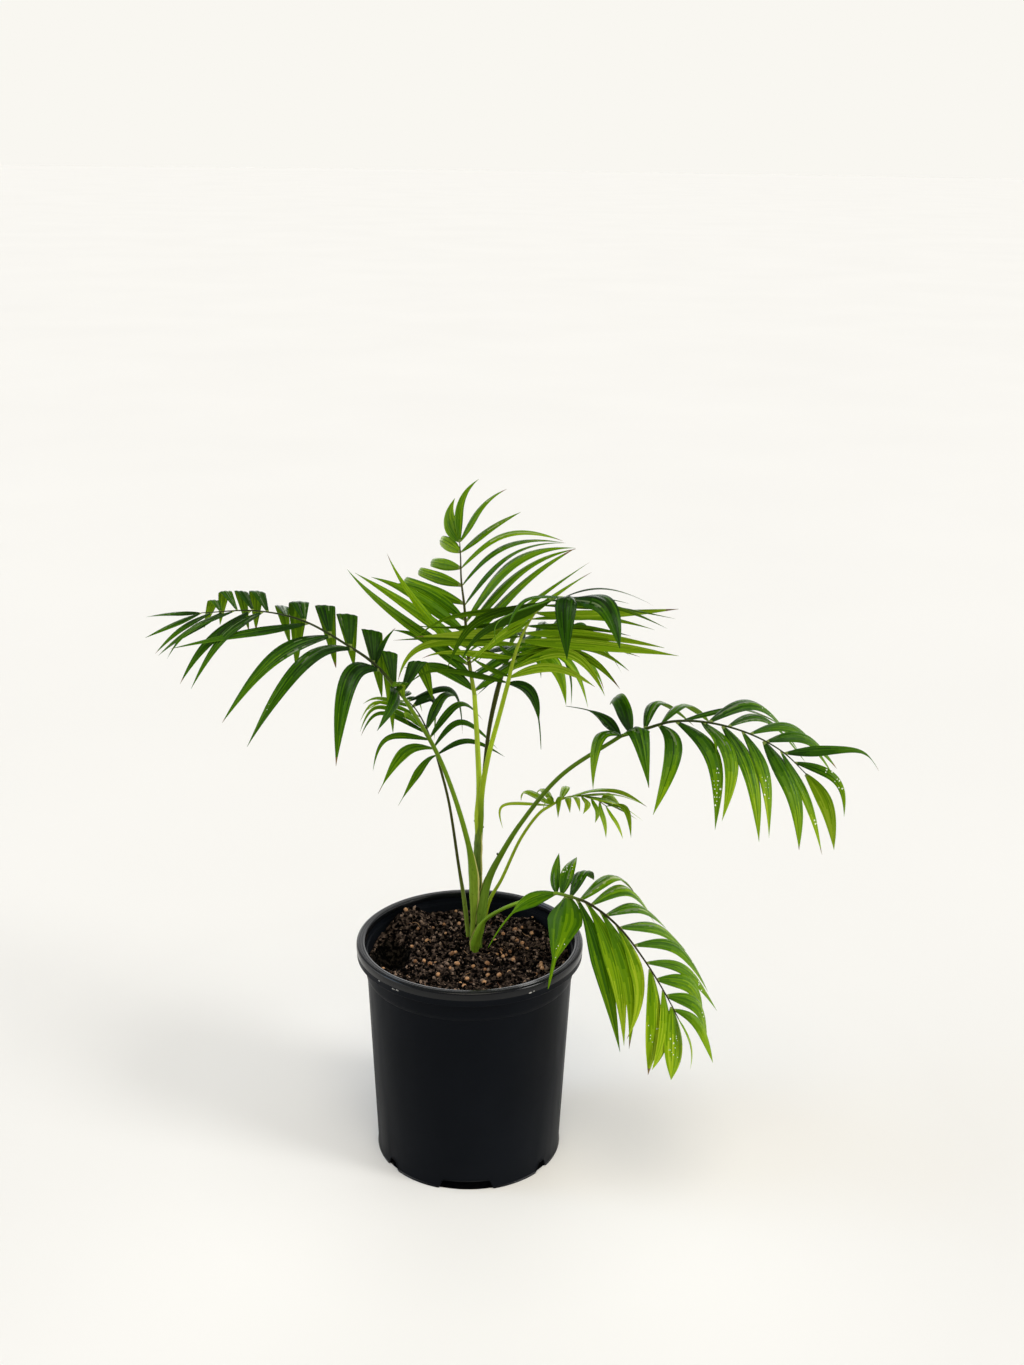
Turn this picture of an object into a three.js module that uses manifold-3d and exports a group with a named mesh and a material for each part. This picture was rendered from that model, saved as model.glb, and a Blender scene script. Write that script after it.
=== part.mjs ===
// A young parlour palm in its round nursery pot.
// Millimetres, +Z up. The origin is the middle of the pot's flat underside, and -Y is the front.
// The palm is a short stem with eight leaf stalks. Each stalk carries one frond, and each side of
// a frond is a thin blade that runs from the frond's rib out to the line of its leaflet tips.

import * as THREE from 'three';
import { mergeVertices } from 'three/addons/utils/BufferGeometryUtils.js';
import Module from 'manifold-3d';

const wasm = await Module();
wasm.setup();

// ---------------------------------------------------------------- driving dimensions

const GAP = 0.35; // clearance between neighbouring solids

const POT = {
  height: 204,
  lipRadius: 100, // outside of the rolled lip
  mouthRadius: 92.6, // inside of the lip's flat top
  wallTopRadius: 91.6, // outside of the wall, just under the lip
  footRadius: 82.6, // outside of the wall, at the ground
  wall: 2.2,
  lipDrop: 13, // how far the lip's skirt hangs below the rim
  collarDrop: 31, // lower edge of the thicker collar below the lip
  collarStep: 0.9,
  ledgeDrop: 9, // ledge inside the mouth
  footHeight: 5.5, // raised ring channel under the floor
  padRadius: 46, // flat disc in the middle of the underside
  footRingInner: 74,
  segments: 60,
};

const NOTCH = { count: 5, angle: THREE.MathUtils.degToRad(38), first: THREE.MathUtils.degToRad(-90) };

const SOIL = {
  top: 187, // level of the potting mix round the stem
  unevenness: 2.2,
  hole: { x: -68, y: 6, radius: 17, depth: 8 }, // where a finger was pushed in
  mound: { x: -62, y: 38, radius: 22, height: 4 },
  rings: 7,
  levelRadius: 16, // level patch that the stem stands on
};

const LIMB = { sides: 8, stepsPerStation: 2 };

const BLADE = {
  thickness: 1.6,
  ribClear: 1.4, // from the rib's line to the blade's inner edge
  stepsPerStation: 2,
  stepsAcross: 4,
  bendHalfGap: 0.006, // half the gap at a frond's bend, as a share of the frond's length
};

const STEM = [
  [5, 17, SOIL.top + GAP, 8.2],
  [5, 17, 196, 6.4],
  [6, 17, 229, 5.2],
  [6, 18, 273, 4.3],
  [7, 19, 316, 3.9],
  [8, 20, 335, 4.1],
];

// Each frond has a stalk of [x, y, z, radius] stations and a rib of [x, y, z] stations. Its two
// sides have one leaflet-tip point for each rib station. rise is how far above the rib the leaflets
// on that side arch before they droop. bend is the rib station where an arching frond is split.
const FRONDS = {
  left: {
    stalk: [[2, 12, 200, 2.2], [3, 9, 226, 3.8], [3, 8, 258, 4.6], [-1, 8, 287, 2.9], [-15, 9, 339, 2.1],
      [-31, 10, 380, 1.9], [-58, 12, 427, 1.7]],
    rib: [[-58, 12, 427], [-82, 12, 456], [-106, 11, 474], [-143, 8, 496], [-181, 4, 505], [-226, -1, 504]],
    bend: 3,
    sides: {
      near: {
        rise: 16,
        tips: [[-72, -22, 402], [-110, -48, 387], [-183, -55, 407], [-215, -52, 439], [-235, -42, 454],
          [-270, -18, 490]],
      },
      far: {
        rise: 50,
        tips: [[-35, 48, 413], [-82, 68, 406], [-109, 70, 435], [-158, 66, 436], [-195, 52, 472],
          [-275, 18, 494]],
      },
    },
  },
  left_small: {
    stalk: [[-2, 22, 195, 2.0], [-6, 27, 229, 2.0], [-11, 33, 258, 1.4], [-21, 44, 319, 1.2],
      [-32, 55, 358, 1.2]],
    rib: [[-32, 55, 358], [-37, 60, 369], [-42, 66, 380], [-52, 74, 395], [-64, 84, 403]],
    sides: {
      near: {
        rise: 14,
        tips: [[-65, 34, 317], [-84, 34, 329], [-89, 44, 346], [-99, 58, 374], [-101, 92, 389]],
      },
      far: {
        rise: 24,
        tips: [[35, 50, 359], [22, 80, 355], [8, 104, 374], [-10, 118, 356], [-35, 126, 348]],
      },
    },
  },
  upright: {
    stalk: [[7, 22, 336, 2.5], [5, 27, 379, 2.3], [2, 34, 423, 2.0]],
    rib: [[2, 34, 423], [-3, 43, 450], [-6, 52, 476], [-8, 61, 496], [-11, 71, 516], [-12, 80, 535],
      [-13, 86, 547]],
    sides: {
      right: {
        rise: 52,
        tips: [[82, 58, 474], [103, 46, 507], [102, 50, 530], [100, 64, 539], [81, 82, 550], [40, 98, 571],
          [4, 110, 598]],
      },
      left: {
        rise: 40,
        tips: [[-61, 70, 435], [-72, 50, 550], [-107, 56, 535], [-89, 80, 516], [-52, 128, 491],
          [-27, 146, 504], [-19, 118, 579]],
      },
    },
  },
  centre_front: {
    stalk: [[9, 17, 338, 2.5], [15, 14, 374, 2.2], [24, 8, 413, 2.0], [31, 2, 444, 1.9]],
    rib: [[31, 2, 444], [35, -3, 465], [41, -10, 487], [49, -19, 507], [60, -31, 525], [72, -48, 535],
      [84, -66, 538]],
    bend: 3,
    sides: {
      right: {
        rise: 22,
        tips: [[60, -16, 392], [114, -6, 431], [150, 14, 453], [177, 14, 467], [164, -6, 497],
          [170, -34, 522], [118, -96, 508]],
      },
      left: {
        rise: 18,
        tips: [[-53, -6, 444], [-66, 2, 481], [-58, 4, 492], [-62, -34, 468], [-27, -52, 470],
          [16, -72, 487], [78, -104, 501]],
      },
    },
  },
  centre_back: {
    stalk: [[10, 26, 339, 1.8], [15, 36, 390, 1.8], [21, 43, 420, 1.7], [28, 50, 446, 1.6]],
    rib: [[28, 50, 446], [39, 60, 461], [55, 73, 467], [74, 88, 466], [93, 102, 455]],
    sides: {
      near: {
        rise: 12,
        tips: [[74, 36, 428], [85, 44, 410], [102, 54, 407], [120, 74, 415], [134, 106, 426]],
      },
      far: {
        rise: 12,
        tips: [[6, 88, 409], [15, 116, 436], [42, 138, 445], [80, 146, 430], [117, 132, 425]],
      },
    },
  },
  right: {
    stalk: [[9, 12, 204, 3.2], [10, 10, 227, 4.8], [16, 8, 258, 3.4], [28, 5, 286, 2.5], [45, 0, 318, 2.0],
      [78, -8, 365, 1.9], [127, -17, 405, 1.7]],
    rib: [[127, -17, 405], [145, -20, 412], [170, -23, 421], [201, -28, 422], [235, -33, 414],
      [262, -37, 400], [283, -40, 381]],
    bend: 3,
    sides: {
      near: {
        rise: 14,
        tips: [[104, -42, 368], [151, -60, 370], [194, -80, 351], [227, -88, 344], [254, -90, 337],
          [292, -84, 327], [314, -62, 353]],
      },
      far: {
        rise: 34,
        tips: [[83, 34, 414], [123, 46, 412], [206, 50, 395], [279, 34, 381], [315, 12, 364],
          [333, -8, 376], [347, -24, 379]],
      },
    },
  },
  right_small: {
    stalk: [[12, 20, 210, 1.9], [17, 27, 229, 1.7], [27, 35, 245, 1.5], [45, 52, 280, 1.4], [62, 64, 300, 1.4],
      [72, 69, 305, 1.3]],
    rib: [[72, 69, 305], [83, 78, 308], [97, 90, 306], [112, 102, 299], [125, 112, 287]],
    sides: {
      near: {
        rise: 10,
        tips: [[29, 50, 291], [89, 48, 306], [113, 60, 293], [124, 78, 269], [145, 100, 260]],
      },
      far: {
        rise: 16,
        tips: [[45, 112, 295], [121, 140, 285], [146, 150, 276], [166, 150, 270], [163, 138, 261]],
      },
    },
  },
  right_low: {
    stalk: [[5, 8, 194, 4.8], [9, 4, 211, 3.6], [13, 0, 222, 1.9], [28, -10, 238, 1.6], [46, -22, 252, 1.6],
      [75, -44, 271, 1.6]],
    rib: [[75, -44, 271], [89, -54, 272], [104, -66, 271], [127, -83, 259], [149, -98, 235],
      [167, -107, 208], [178, -112, 188]],
    bend: 3,
    sides: {
      near: {
        rise: 8,
        tips: [[28, -50, 234], [69, -92, 204], [123, -118, 160], [139, -132, 161], [155, -140, 151],
          [185, -138, 155], [202, -126, 158]],
      },
      far: {
        rise: 22,
        tips: [[78, -6, 290], [102, -6, 287], [145, -12, 256], [174, -34, 234], [204, -66, 194],
          [212, -90, 184], [208, -114, 156]],
      },
    },
  },
};

const COLOURS = {
  pot: { color: 0x17181b, roughness: 0.45, metalness: 0 },
  soil: { color: 0x2a1d15, roughness: 1, metalness: 0 },
  stem: { color: 0x7f9a35, roughness: 0.5, metalness: 0 },
  frond: { color: 0x3f7a1c, roughness: 0.4, metalness: 0 },
};

// ---------------------------------------------------------------- solids and meshes

function closedGeometry(positions, indices) {
  const geometry = new THREE.BufferGeometry();
  geometry.setAttribute('position', new THREE.Float32BufferAttribute(positions, 3));
  geometry.setIndex(indices);
  return geometry;
}

function toSolid(geometry) {
  const bare = geometry.clone();
  bare.deleteAttribute('normal');
  bare.deleteAttribute('uv');
  const merged = mergeVertices(bare, 1e-3);
  const corners = merged.index.array;
  const kept = [];
  for (let i = 0; i < corners.length; i += 3) {
    const [a, b, c] = [corners[i], corners[i + 1], corners[i + 2]];
    if (a !== b && b !== c && c !== a) kept.push(a, b, c);
  }
  const vertProperties = Float32Array.from(merged.attributes.position.array);
  return new wasm.Manifold(new wasm.Mesh({ numProp: 3, vertProperties, triVerts: Uint32Array.from(kept) }));
}

function toMesh(name, solid, look) {
  const { vertProperties, triVerts } = solid.getMesh();
  const geometry = closedGeometry(Array.from(vertProperties), Array.from(triVerts));
  geometry.computeVertexNormals();
  const mesh = new THREE.Mesh(geometry, new THREE.MeshStandardMaterial(look));
  mesh.name = name;
  return mesh;
}

// ---------------------------------------------------------------- pot

function wallRadius(z) {
  return THREE.MathUtils.lerp(POT.footRadius, POT.wallTopRadius, z / (POT.height - POT.lipDrop));
}

function potProfile() {
  const { height, lipRadius, mouthRadius, wall, lipDrop, collarDrop, collarStep, ledgeDrop } = POT;
  const { footHeight, padRadius, footRingInner } = POT;
  const collar = height - collarDrop;
  const skirt = height - lipDrop;
  const floor = footHeight + wall;
  return [
    [0, 0],
    [padRadius, 0],
    [padRadius + 2, footHeight],
    [footRingInner, footHeight],
    [footRingInner + 1, 0],
    [POT.footRadius - 1.8, 0],
    [wallRadius(2), 2],
    [wallRadius(collar), collar],
    [wallRadius(collar) + collarStep, collar + 1],
    [wallRadius(height) + collarStep, height - 5],
    [lipRadius - 3.2, height - 4.5],
    [lipRadius - 2.4, skirt],
    [lipRadius - 0.6, skirt],
    [lipRadius, height - 4],
    [lipRadius - 0.9, height - 1],
    [lipRadius - 2.4, height],
    [mouthRadius + 0.8, height],
    [mouthRadius, height - 0.8],
    [mouthRadius - 1, height - ledgeDrop],
    [wallRadius(height - ledgeDrop) - wall, height - ledgeDrop - 1],
    [wallRadius(floor) - wall, floor],
    [padRadius + 2 + wall, floor],
    [padRadius - 0.4, wall],
    [0, wall],
  ];
}

function lathe(profile, segments) {
  return new THREE.LatheGeometry(profile.map(([r, z]) => new THREE.Vector2(r, z)), segments).rotateX(Math.PI / 2);
}

// A drain notch: a sector of the foot ring, cut from the ground up to the height of the channel.
function notchCutter(middle) {
  const half = NOTCH.angle / 2;
  const outline = new THREE.Shape();
  outline.absarc(0, 0, POT.footRadius + 6, middle - half, middle + half, false);
  outline.absarc(0, 0, POT.footRingInner - 2, middle + half, middle - half, true);
  const depth = POT.footHeight + 1;
  return new THREE.ExtrudeGeometry(outline, { depth, bevelEnabled: false, curveSegments: 6 }).translate(0, 0, -1);
}

function pot() {
  let solid = toSolid(lathe(potProfile(), POT.segments));
  for (let i = 0; i < NOTCH.count; i += 1) {
    const middle = NOTCH.first + (i * 2 * Math.PI) / NOTCH.count;
    solid = solid.subtract(toSolid(notchCutter(middle)));
  }
  return solid;
}

// ---------------------------------------------------------------- potting mix

function bump(x, y, spot) {
  const distance = Math.hypot(x - spot.x, y - spot.y) / spot.radius;
  return distance < 1 ? (1 - distance * distance) ** 2 : 0;
}

function soilLevel(x, y) {
  const [stemX, stemY] = STEM[0];
  const fromStem = Math.hypot(x - stemX, y - stemY);
  const wave = Math.sin(x / 9 + 1.3) * Math.cos(y / 11) + 0.6 * Math.sin((x - 2 * y) / 17);
  const rough = SOIL.unevenness * wave * THREE.MathUtils.smoothstep(fromStem, SOIL.levelRadius, 2 * SOIL.levelRadius);
  const hole = SOIL.hole.depth * bump(x, y, SOIL.hole);
  const mound = SOIL.mound.height * bump(x, y, SOIL.mound);
  return SOIL.top + rough - hole + mound;
}

function soil() {
  const inner = (z) => wallRadius(z) - POT.wall - GAP;
  const floor = POT.footHeight + POT.wall + GAP;
  const { padRadius, wall } = POT;
  const profile = [
    [0, wall + GAP],
    [padRadius - 0.8, wall + GAP],
    [padRadius + 1.8 + wall, floor],
    [inner(floor), floor],
    [inner(SOIL.top - 8), SOIL.top - 8],
  ];
  for (let ring = SOIL.rings; ring >= 0; ring -= 1) {
    profile.push([(inner(SOIL.top - 8) * ring) / SOIL.rings, SOIL.top]);
  }
  const geometry = lathe(profile, POT.segments);
  const place = geometry.attributes.position;
  for (let i = 0; i < place.count; i += 1) {
    if (place.getZ(i) > SOIL.top - 1) place.setZ(i, soilLevel(place.getX(i), place.getY(i)));
  }
  return toSolid(geometry);
}

// ---------------------------------------------------------------- stem and stalks

function smoothLine(stations) {
  return new THREE.CatmullRomCurve3(stations.map(([x, y, z]) => new THREE.Vector3(x, y, z)));
}

function radiusAt(stations, t) {
  const place = t * (stations.length - 1);
  const i = Math.min(Math.floor(place), stations.length - 2);
  return THREE.MathUtils.lerp(stations[i][3], stations[i + 1][3], place - i);
}

// A round tapering limb along its stations. grow thickens and lengthens it, to make the cutter
// that gives a neighbour its clearance.
function limb(stations, grow = 0) {
  const line = smoothLine(stations);
  const steps = (stations.length - 1) * LIMB.stepsPerStation;
  const { sides } = LIMB;
  const positions = [];
  for (let i = 0; i <= steps; i += 1) {
    const t = i / steps;
    const along = line.getTangent(t);
    const centre = line.getPoint(t);
    if (i === 0) centre.addScaledVector(along, -grow);
    if (i === steps) centre.addScaledVector(along, grow);
    const across = new THREE.Vector3(0, 1, 0).cross(along).normalize();
    const back = along.clone().cross(across);
    for (let k = 0; k < sides; k += 1) {
      const angle = (k * 2 * Math.PI) / sides;
      const radius = radiusAt(stations, t) + grow;
      const point = centre.clone();
      point.addScaledVector(across, radius * Math.cos(angle));
      point.addScaledVector(back, radius * Math.sin(angle));
      positions.push(...point);
    }
  }
  const indices = [];
  for (let i = 0; i < steps; i += 1) {
    for (let k = 0; k < sides; k += 1) {
      const a = i * sides + k;
      const b = i * sides + ((k + 1) % sides);
      indices.push(a, b, b + sides, a, b + sides, a + sides);
    }
  }
  const last = steps * sides;
  for (let k = 1; k < sides - 1; k += 1) {
    indices.push(0, k + 1, k);
    indices.push(last, last + k, last + k + 1);
  }
  return toSolid(closedGeometry(positions, indices));
}

// ---------------------------------------------------------------- frond blades

// The middle surface of one side of a frond, as rows of points from the rib out to the tips.
function bladeRows(rib, side, from, to, grow) {
  const ribLine = smoothLine(rib);
  const tipLine = smoothLine(side.tips);
  const stations = (to - from) * (rib.length - 1);
  const steps = Math.max(2, Math.round(stations * BLADE.stepsPerStation));
  const rows = [];
  for (let i = 0; i <= steps; i += 1) {
    const t = THREE.MathUtils.lerp(from, to, i / steps);
    const foot = ribLine.getPoint(t);
    const tip = tipLine.getPoint(t);
    const crest = foot.clone().lerp(tip, 0.5);
    crest.z = foot.z + side.rise + Math.max(0, tip.z - foot.z) * 0.3;
    foot.addScaledVector(crest.clone().sub(foot).normalize(), BLADE.ribClear - grow);
    const arch = new THREE.QuadraticBezierCurve3(foot, crest, tip);
    rows.push(arch.getPoints(BLADE.stepsAcross));
  }
  return rows;
}

function surfaceNormal(rows, i, j) {
  const up = rows[Math.min(i + 1, rows.length - 1)][j];
  const down = rows[Math.max(i - 1, 0)][j];
  const out = rows[i][Math.min(j + 1, rows[i].length - 1)];
  const back = rows[i][Math.max(j - 1, 0)];
  const along = up.clone().sub(down);
  return out.clone().sub(back).cross(along).normalize();
}

// A thin plate along those rows. grow thickens it, to make the cutter for the blade across the rib.
function blade(rib, side, from, to, grow = 0) {
  const rows = bladeRows(rib, side, from, to, grow);
  const half = BLADE.thickness / 2 + grow;
  const width = BLADE.stepsAcross + 1;
  const layer = rows.length * width;
  const positions = [];
  for (const face of [1, -1]) {
    rows.forEach((row, i) => row.forEach((point, j) => {
      const lift = surfaceNormal(rows, i, j).multiplyScalar(face * half);
      positions.push(...point.clone().add(lift));
    }));
  }
  const indices = [];
  const quad = (a, b, c, d) => indices.push(a, b, c, a, c, d);
  for (let i = 0; i < rows.length - 1; i += 1) {
    for (let j = 0; j < width - 1; j += 1) {
      const a = i * width + j;
      quad(a, a + 1, a + 1 + width, a + width);
      quad(layer + a, layer + a + width, layer + a + 1 + width, layer + a + 1);
    }
    const inner = i * width;
    const outer = inner + width - 1;
    quad(inner, inner + width, layer + inner + width, layer + inner);
    quad(outer, layer + outer, layer + outer + width, outer + width);
  }
  for (let j = 0; j < width - 1; j += 1) {
    const end = (rows.length - 1) * width + j;
    quad(j, layer + j, layer + j + 1, j + 1);
    quad(end, end + 1, layer + end + 1, layer + end);
  }
  return toSolid(closedGeometry(positions, indices));
}

// The stretches that a frond is split into, as shares of its rib.
function stretches({ rib, bend }) {
  if (bend === undefined) return { blade: [0, 1] };
  const split = bend / (rib.length - 1);
  return {
    inner_blade: [0, split - BLADE.bendHalfGap],
    outer_blade: [split + BLADE.bendHalfGap, 1],
  };
}

// ---------------------------------------------------------------- the plant in its pot

const palm = new THREE.Group();
palm.add(toMesh('pot', pot(), COLOURS.pot));
palm.add(toMesh('soil', soil(), COLOURS.soil));
palm.add(toMesh('main_stem', limb(STEM), COLOURS.stem));

let limbRoom = limb(STEM, GAP);
for (const [name, frond] of Object.entries(FRONDS)) {
  palm.add(toMesh(`${name}_frond_stalk`, limb(frond.stalk).subtract(limbRoom), COLOURS.stem));
  limbRoom = limbRoom.add(limb(frond.stalk, GAP));
}

for (const [name, frond] of Object.entries(FRONDS)) {
  let room = limbRoom;
  for (const [sideName, side] of Object.entries(frond.sides)) {
    for (const [stretch, [from, to]] of Object.entries(stretches(frond))) {
      const solid = blade(frond.rib, side, from, to).subtract(room);
      palm.add(toMesh(`${name}_frond_${sideName}_${stretch}`, solid, COLOURS.frond));
    }
    room = room.add(blade(frond.rib, side, 0, 1, GAP));
  }
}

export default palm;
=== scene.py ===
"""The looks of the potted parlour palm: pot, potting mix, stem, stalks and fronds.

Sizes are in millimetres and become metres where a mesh is made. +Z is up and -Y is the front.
A frond is a rib with leaflets on both sides. Each leaflet is a row of given places: how far
along the rib it starts, and the pixels of the photo where it bends over and where it ends, with
the depth of its tip, so the frond can be laid over the photo and still stand on its rib.
"""

import math
import random
from dataclasses import dataclass, replace

import bmesh
import bpy
import numpy as np
from mathutils import Matrix, Vector, noise


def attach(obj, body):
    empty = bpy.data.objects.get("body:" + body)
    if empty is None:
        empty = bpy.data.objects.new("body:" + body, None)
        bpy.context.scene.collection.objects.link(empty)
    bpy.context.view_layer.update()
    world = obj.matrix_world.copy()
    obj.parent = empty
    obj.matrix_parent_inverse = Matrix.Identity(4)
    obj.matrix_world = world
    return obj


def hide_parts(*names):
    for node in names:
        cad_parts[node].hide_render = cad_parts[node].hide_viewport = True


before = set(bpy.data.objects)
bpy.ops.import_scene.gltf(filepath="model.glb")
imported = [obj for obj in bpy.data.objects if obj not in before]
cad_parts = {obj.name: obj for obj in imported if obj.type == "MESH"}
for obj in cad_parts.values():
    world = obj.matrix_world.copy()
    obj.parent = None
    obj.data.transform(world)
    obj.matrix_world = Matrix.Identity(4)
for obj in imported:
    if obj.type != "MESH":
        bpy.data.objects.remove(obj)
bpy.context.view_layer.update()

MM = 0.001

# ---------------------------------------------------------------- camera

PHOTO = (1024, 1365)
SENSOR = 36.0
LENS = 43.54
CAMERA_PLACE = np.array([34.60, -1327.91, 890.40])
CAMERA_TILT = math.radians(18.467)
CAMERA_ROLL = math.radians(0.769)


def camera_axes():
    """The camera's right, up and backward directions."""
    back = np.array([0, -math.cos(CAMERA_TILT), math.sin(CAMERA_TILT)])
    right = np.cross(-back, [0, 0, 1])
    right /= np.linalg.norm(right)
    up = np.cross(right, -back)
    cos, sin = math.cos(CAMERA_ROLL), math.sin(CAMERA_ROLL)
    return right * cos + up * sin, up * cos - right * sin, back


RIGHT, UP, BACK = camera_axes()


def at_pixel(u, v, depth):
    """The point that shows at pixel (u, v) of the photo and has y = depth."""
    focal = LENS / SENSOR * PHOTO[1]
    ray = RIGHT * (u - PHOTO[0] / 2) / focal - UP * (v - PHOTO[1] / 2) / focal - BACK
    return CAMERA_PLACE + ray * (depth - CAMERA_PLACE[1]) / ray[1]


def add_camera():
    data = bpy.data.cameras.new("camera")
    data.sensor_fit = "VERTICAL"
    data.sensor_height = SENSOR
    data.lens = LENS
    data.clip_start = 0.05
    data.clip_end = 200
    camera = bpy.data.objects.new("camera", data)
    bpy.context.scene.collection.objects.link(camera)
    turn = Matrix((RIGHT, UP, BACK)).transposed().to_4x4()
    camera.matrix_world = Matrix.Translation(Vector(CAMERA_PLACE * MM)) @ turn
    bpy.context.scene.camera = camera


# ---------------------------------------------------------------- the plant's sizes

POT = {
    "height": 205.6,
    "lip_radius": 101.1,
    "mouth_radius": 93.6,
    "wall_top_radius": 92.6,
    "foot_radius": 83.5,
    "wall": 2.2,
    "lip_drop": 13,
    "collar_drop": 31,
    "collar_step": 0.9,
    "ledge_drop": 9,
    "foot_height": 5.5,
    "pad_radius": 46,
    "foot_ring_inner": 74,
    "bead": 0.7,
}
# Drain notches round the foot, as (middle, half width) in degrees.
NOTCHES = [(-90, 15.5), (-37.5, 3.8), (37.5, 3.8), (90, 15.5), (142.5, 3.8), (-142.5, 3.8)]
NOTCH_HEIGHT = 9
# The degrees over which a notch's side rises, and the height up to which the wall above it gives way.
NOTCH_SLOPE = 3.2
NOTCH_REACH = 14
SOIL_TOP = 188
SOIL_HOLE = {"x": -70, "y": 2, "radius": 20, "length": 33, "depth": 17}
SOIL_MOUND = {"x": -57, "y": 52, "radius": 31, "length": 34, "height": 11}

# Limbs, as stations of (x, y, z, radius) from the foot up.
STEM = [(5, 17, 188.3, 8.2), (5, 17, 197, 6.4), (6, 17, 230, 5.0), (6, 18, 274, 3.9),
        (7, 19.5, 309, 3.4), (8, 21, 326, 1.4)]
STALKS = {
    "left": [(2, 12, 201, 1.8), (3, 9.5, 225, 2.7), (3.2, 8.4, 243, 4.0), (2.4, 8, 266, 4.2),
             (-1.5, 8, 291, 2.4), (-15, 9, 340, 2.0), (-31, 10, 381, 1.9), (-58, 12, 428, 1.7)],
    "left_small": [(-2, 22, 196, 2.0), (-6, 27, 230, 2.0), (-11, 33, 259, 1.4), (-21, 44, 320, 1.2),
                   (-32, 55, 359, 1.2)],
    "upright": [(5, 18, 298, 1.3), (5.2, 18, 317, 2.4), (6.8, 20.5, 337, 2.5), (5, 27, 380, 2.3),
                (2, 34, 424, 2.0)],
    "centre_front": [(8.8, 18.5, 291, 1.3), (8.9, 17.5, 314, 2.4), (9.4, 17, 339, 2.5),
                     (15, 14, 375, 2.2), (24, 8, 414, 2.0), (31, 2, 445, 1.9)],
    "centre_back": [(8, 22, 301, 1.2), (9, 23, 321, 1.6), (10, 26, 341, 1.5), (15, 36, 391, 1.8),
                    (21, 43, 421, 2.2), (28, 50, 447, 1.8)],
    "right": [(9, 12, 205, 3.2), (10, 10, 228, 4.8), (16, 8, 259, 3.4), (28, 5, 287, 2.5),
              (45, 0, 319, 2.0), (78, -8, 366, 1.9), (127, -17, 406, 1.7)],
    "right_small": [(12, 20, 211, 1.9), (17, 27, 230, 1.7), (27, 35, 246, 1.5), (45, 52, 281, 1.4),
                    (62, 64, 301, 1.4), (72, 69, 306, 1.3)],
    "right_low": [(4, 8, 184, 2.6), (5, 8, 196, 4.6), (9, 4, 212, 3.6), (13, 0, 223, 1.9),
                  (28, -10, 239, 1.6), (46, -22, 253, 1.6), (75, -44, 272, 1.6)],
}
# Ribs, as (x, y, z) on from the end of their stalk to the frond's tip.
RIBS = {
    "left": [(-82, 12, 457), (-106, 11, 475), (-143, 8, 497), (-181, 4, 506), (-226, -1, 505)],
    "left_small": [(-37, 60, 370), (-42, 66, 381), (-52, 74, 396), (-64, 84, 404)],
    "upright": [(-3, 43, 451), (-6, 52, 477), (-8, 61, 497), (-11, 71, 517), (-12, 80, 536), (-13, 86, 548)],
    "centre_front": [(35, -3, 466), (41, -10, 488), (49, -19, 508), (60, -31, 526), (72, -48, 536),
                     (84, -66, 539)],
    "centre_back": [(39, 60, 462), (55, 73, 468), (74, 88, 467), (93, 102, 456)],
    "right": [(145, -20, 413), (170, -23, 422), (201, -28, 423), (235, -33, 415), (262, -37, 401),
              (283, -40, 382)],
    "right_small": [(83, 78, 309), (97, 90, 307), (112, 102, 300), (125, 112, 288)],
    "right_low": [(89, -54, 273), (104, -66, 272), (127, -83, 260), (149, -98, 236), (167, -107, 209),
                  (178, -112, 189)],
}
# The blades of the frame that each frond stands for.
FOUR_BLADES = ["near_inner", "near_outer", "far_inner", "far_outer"]
FROND_NODES = {
    "left": FOUR_BLADES,
    "left_small": ["near", "far"],
    "upright": ["right", "left"],
    "centre_front": ["right_inner", "right_outer", "left_inner", "left_outer"],
    "centre_back": ["near", "far"],
    "right": FOUR_BLADES,
    "right_small": ["near", "far"],
    "right_low": FOUR_BLADES,
}


@dataclass
class Side:
    """Leaflets of a frond that are alike, such as those on one side of its rib.

    top and under are the tones of a leaflet's upper and lower face, at its foot and at its tip; the rise
    from foot to tip is partly the leaflet's own tone and partly painted light on its hanging end. A row is
    (place along the rib, bend u, bend v, tip u, tip v, tip depth, width, tone, own roll), where tone is
    added to the side's and own roll may be left out.
    crisp is how sharply a leaflet folds over at its bend, and reach the share of its depth covered there.
    roll turns it about its own length. full is where it is widest, from 0 to 1, or None for at its bend.
    rise is how late it widens before full, taper how late it narrows after it, and tail the share of its
    length that is a thin thread. A side with a level has wedge-shaped leaflets, whose folds lie that much
    level instead of along the rib. facing is where the upper face looks, instead of where the frond does.
    """

    top: tuple
    under: tuple
    rows: list
    crisp: float = 1.5
    reach: float = 0.5
    roll: float = 0
    full: float = 0.36
    taper: float = 1.5
    rise: float = 0.9
    tail: float = 0
    level: float = None
    facing: tuple = None


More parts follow.
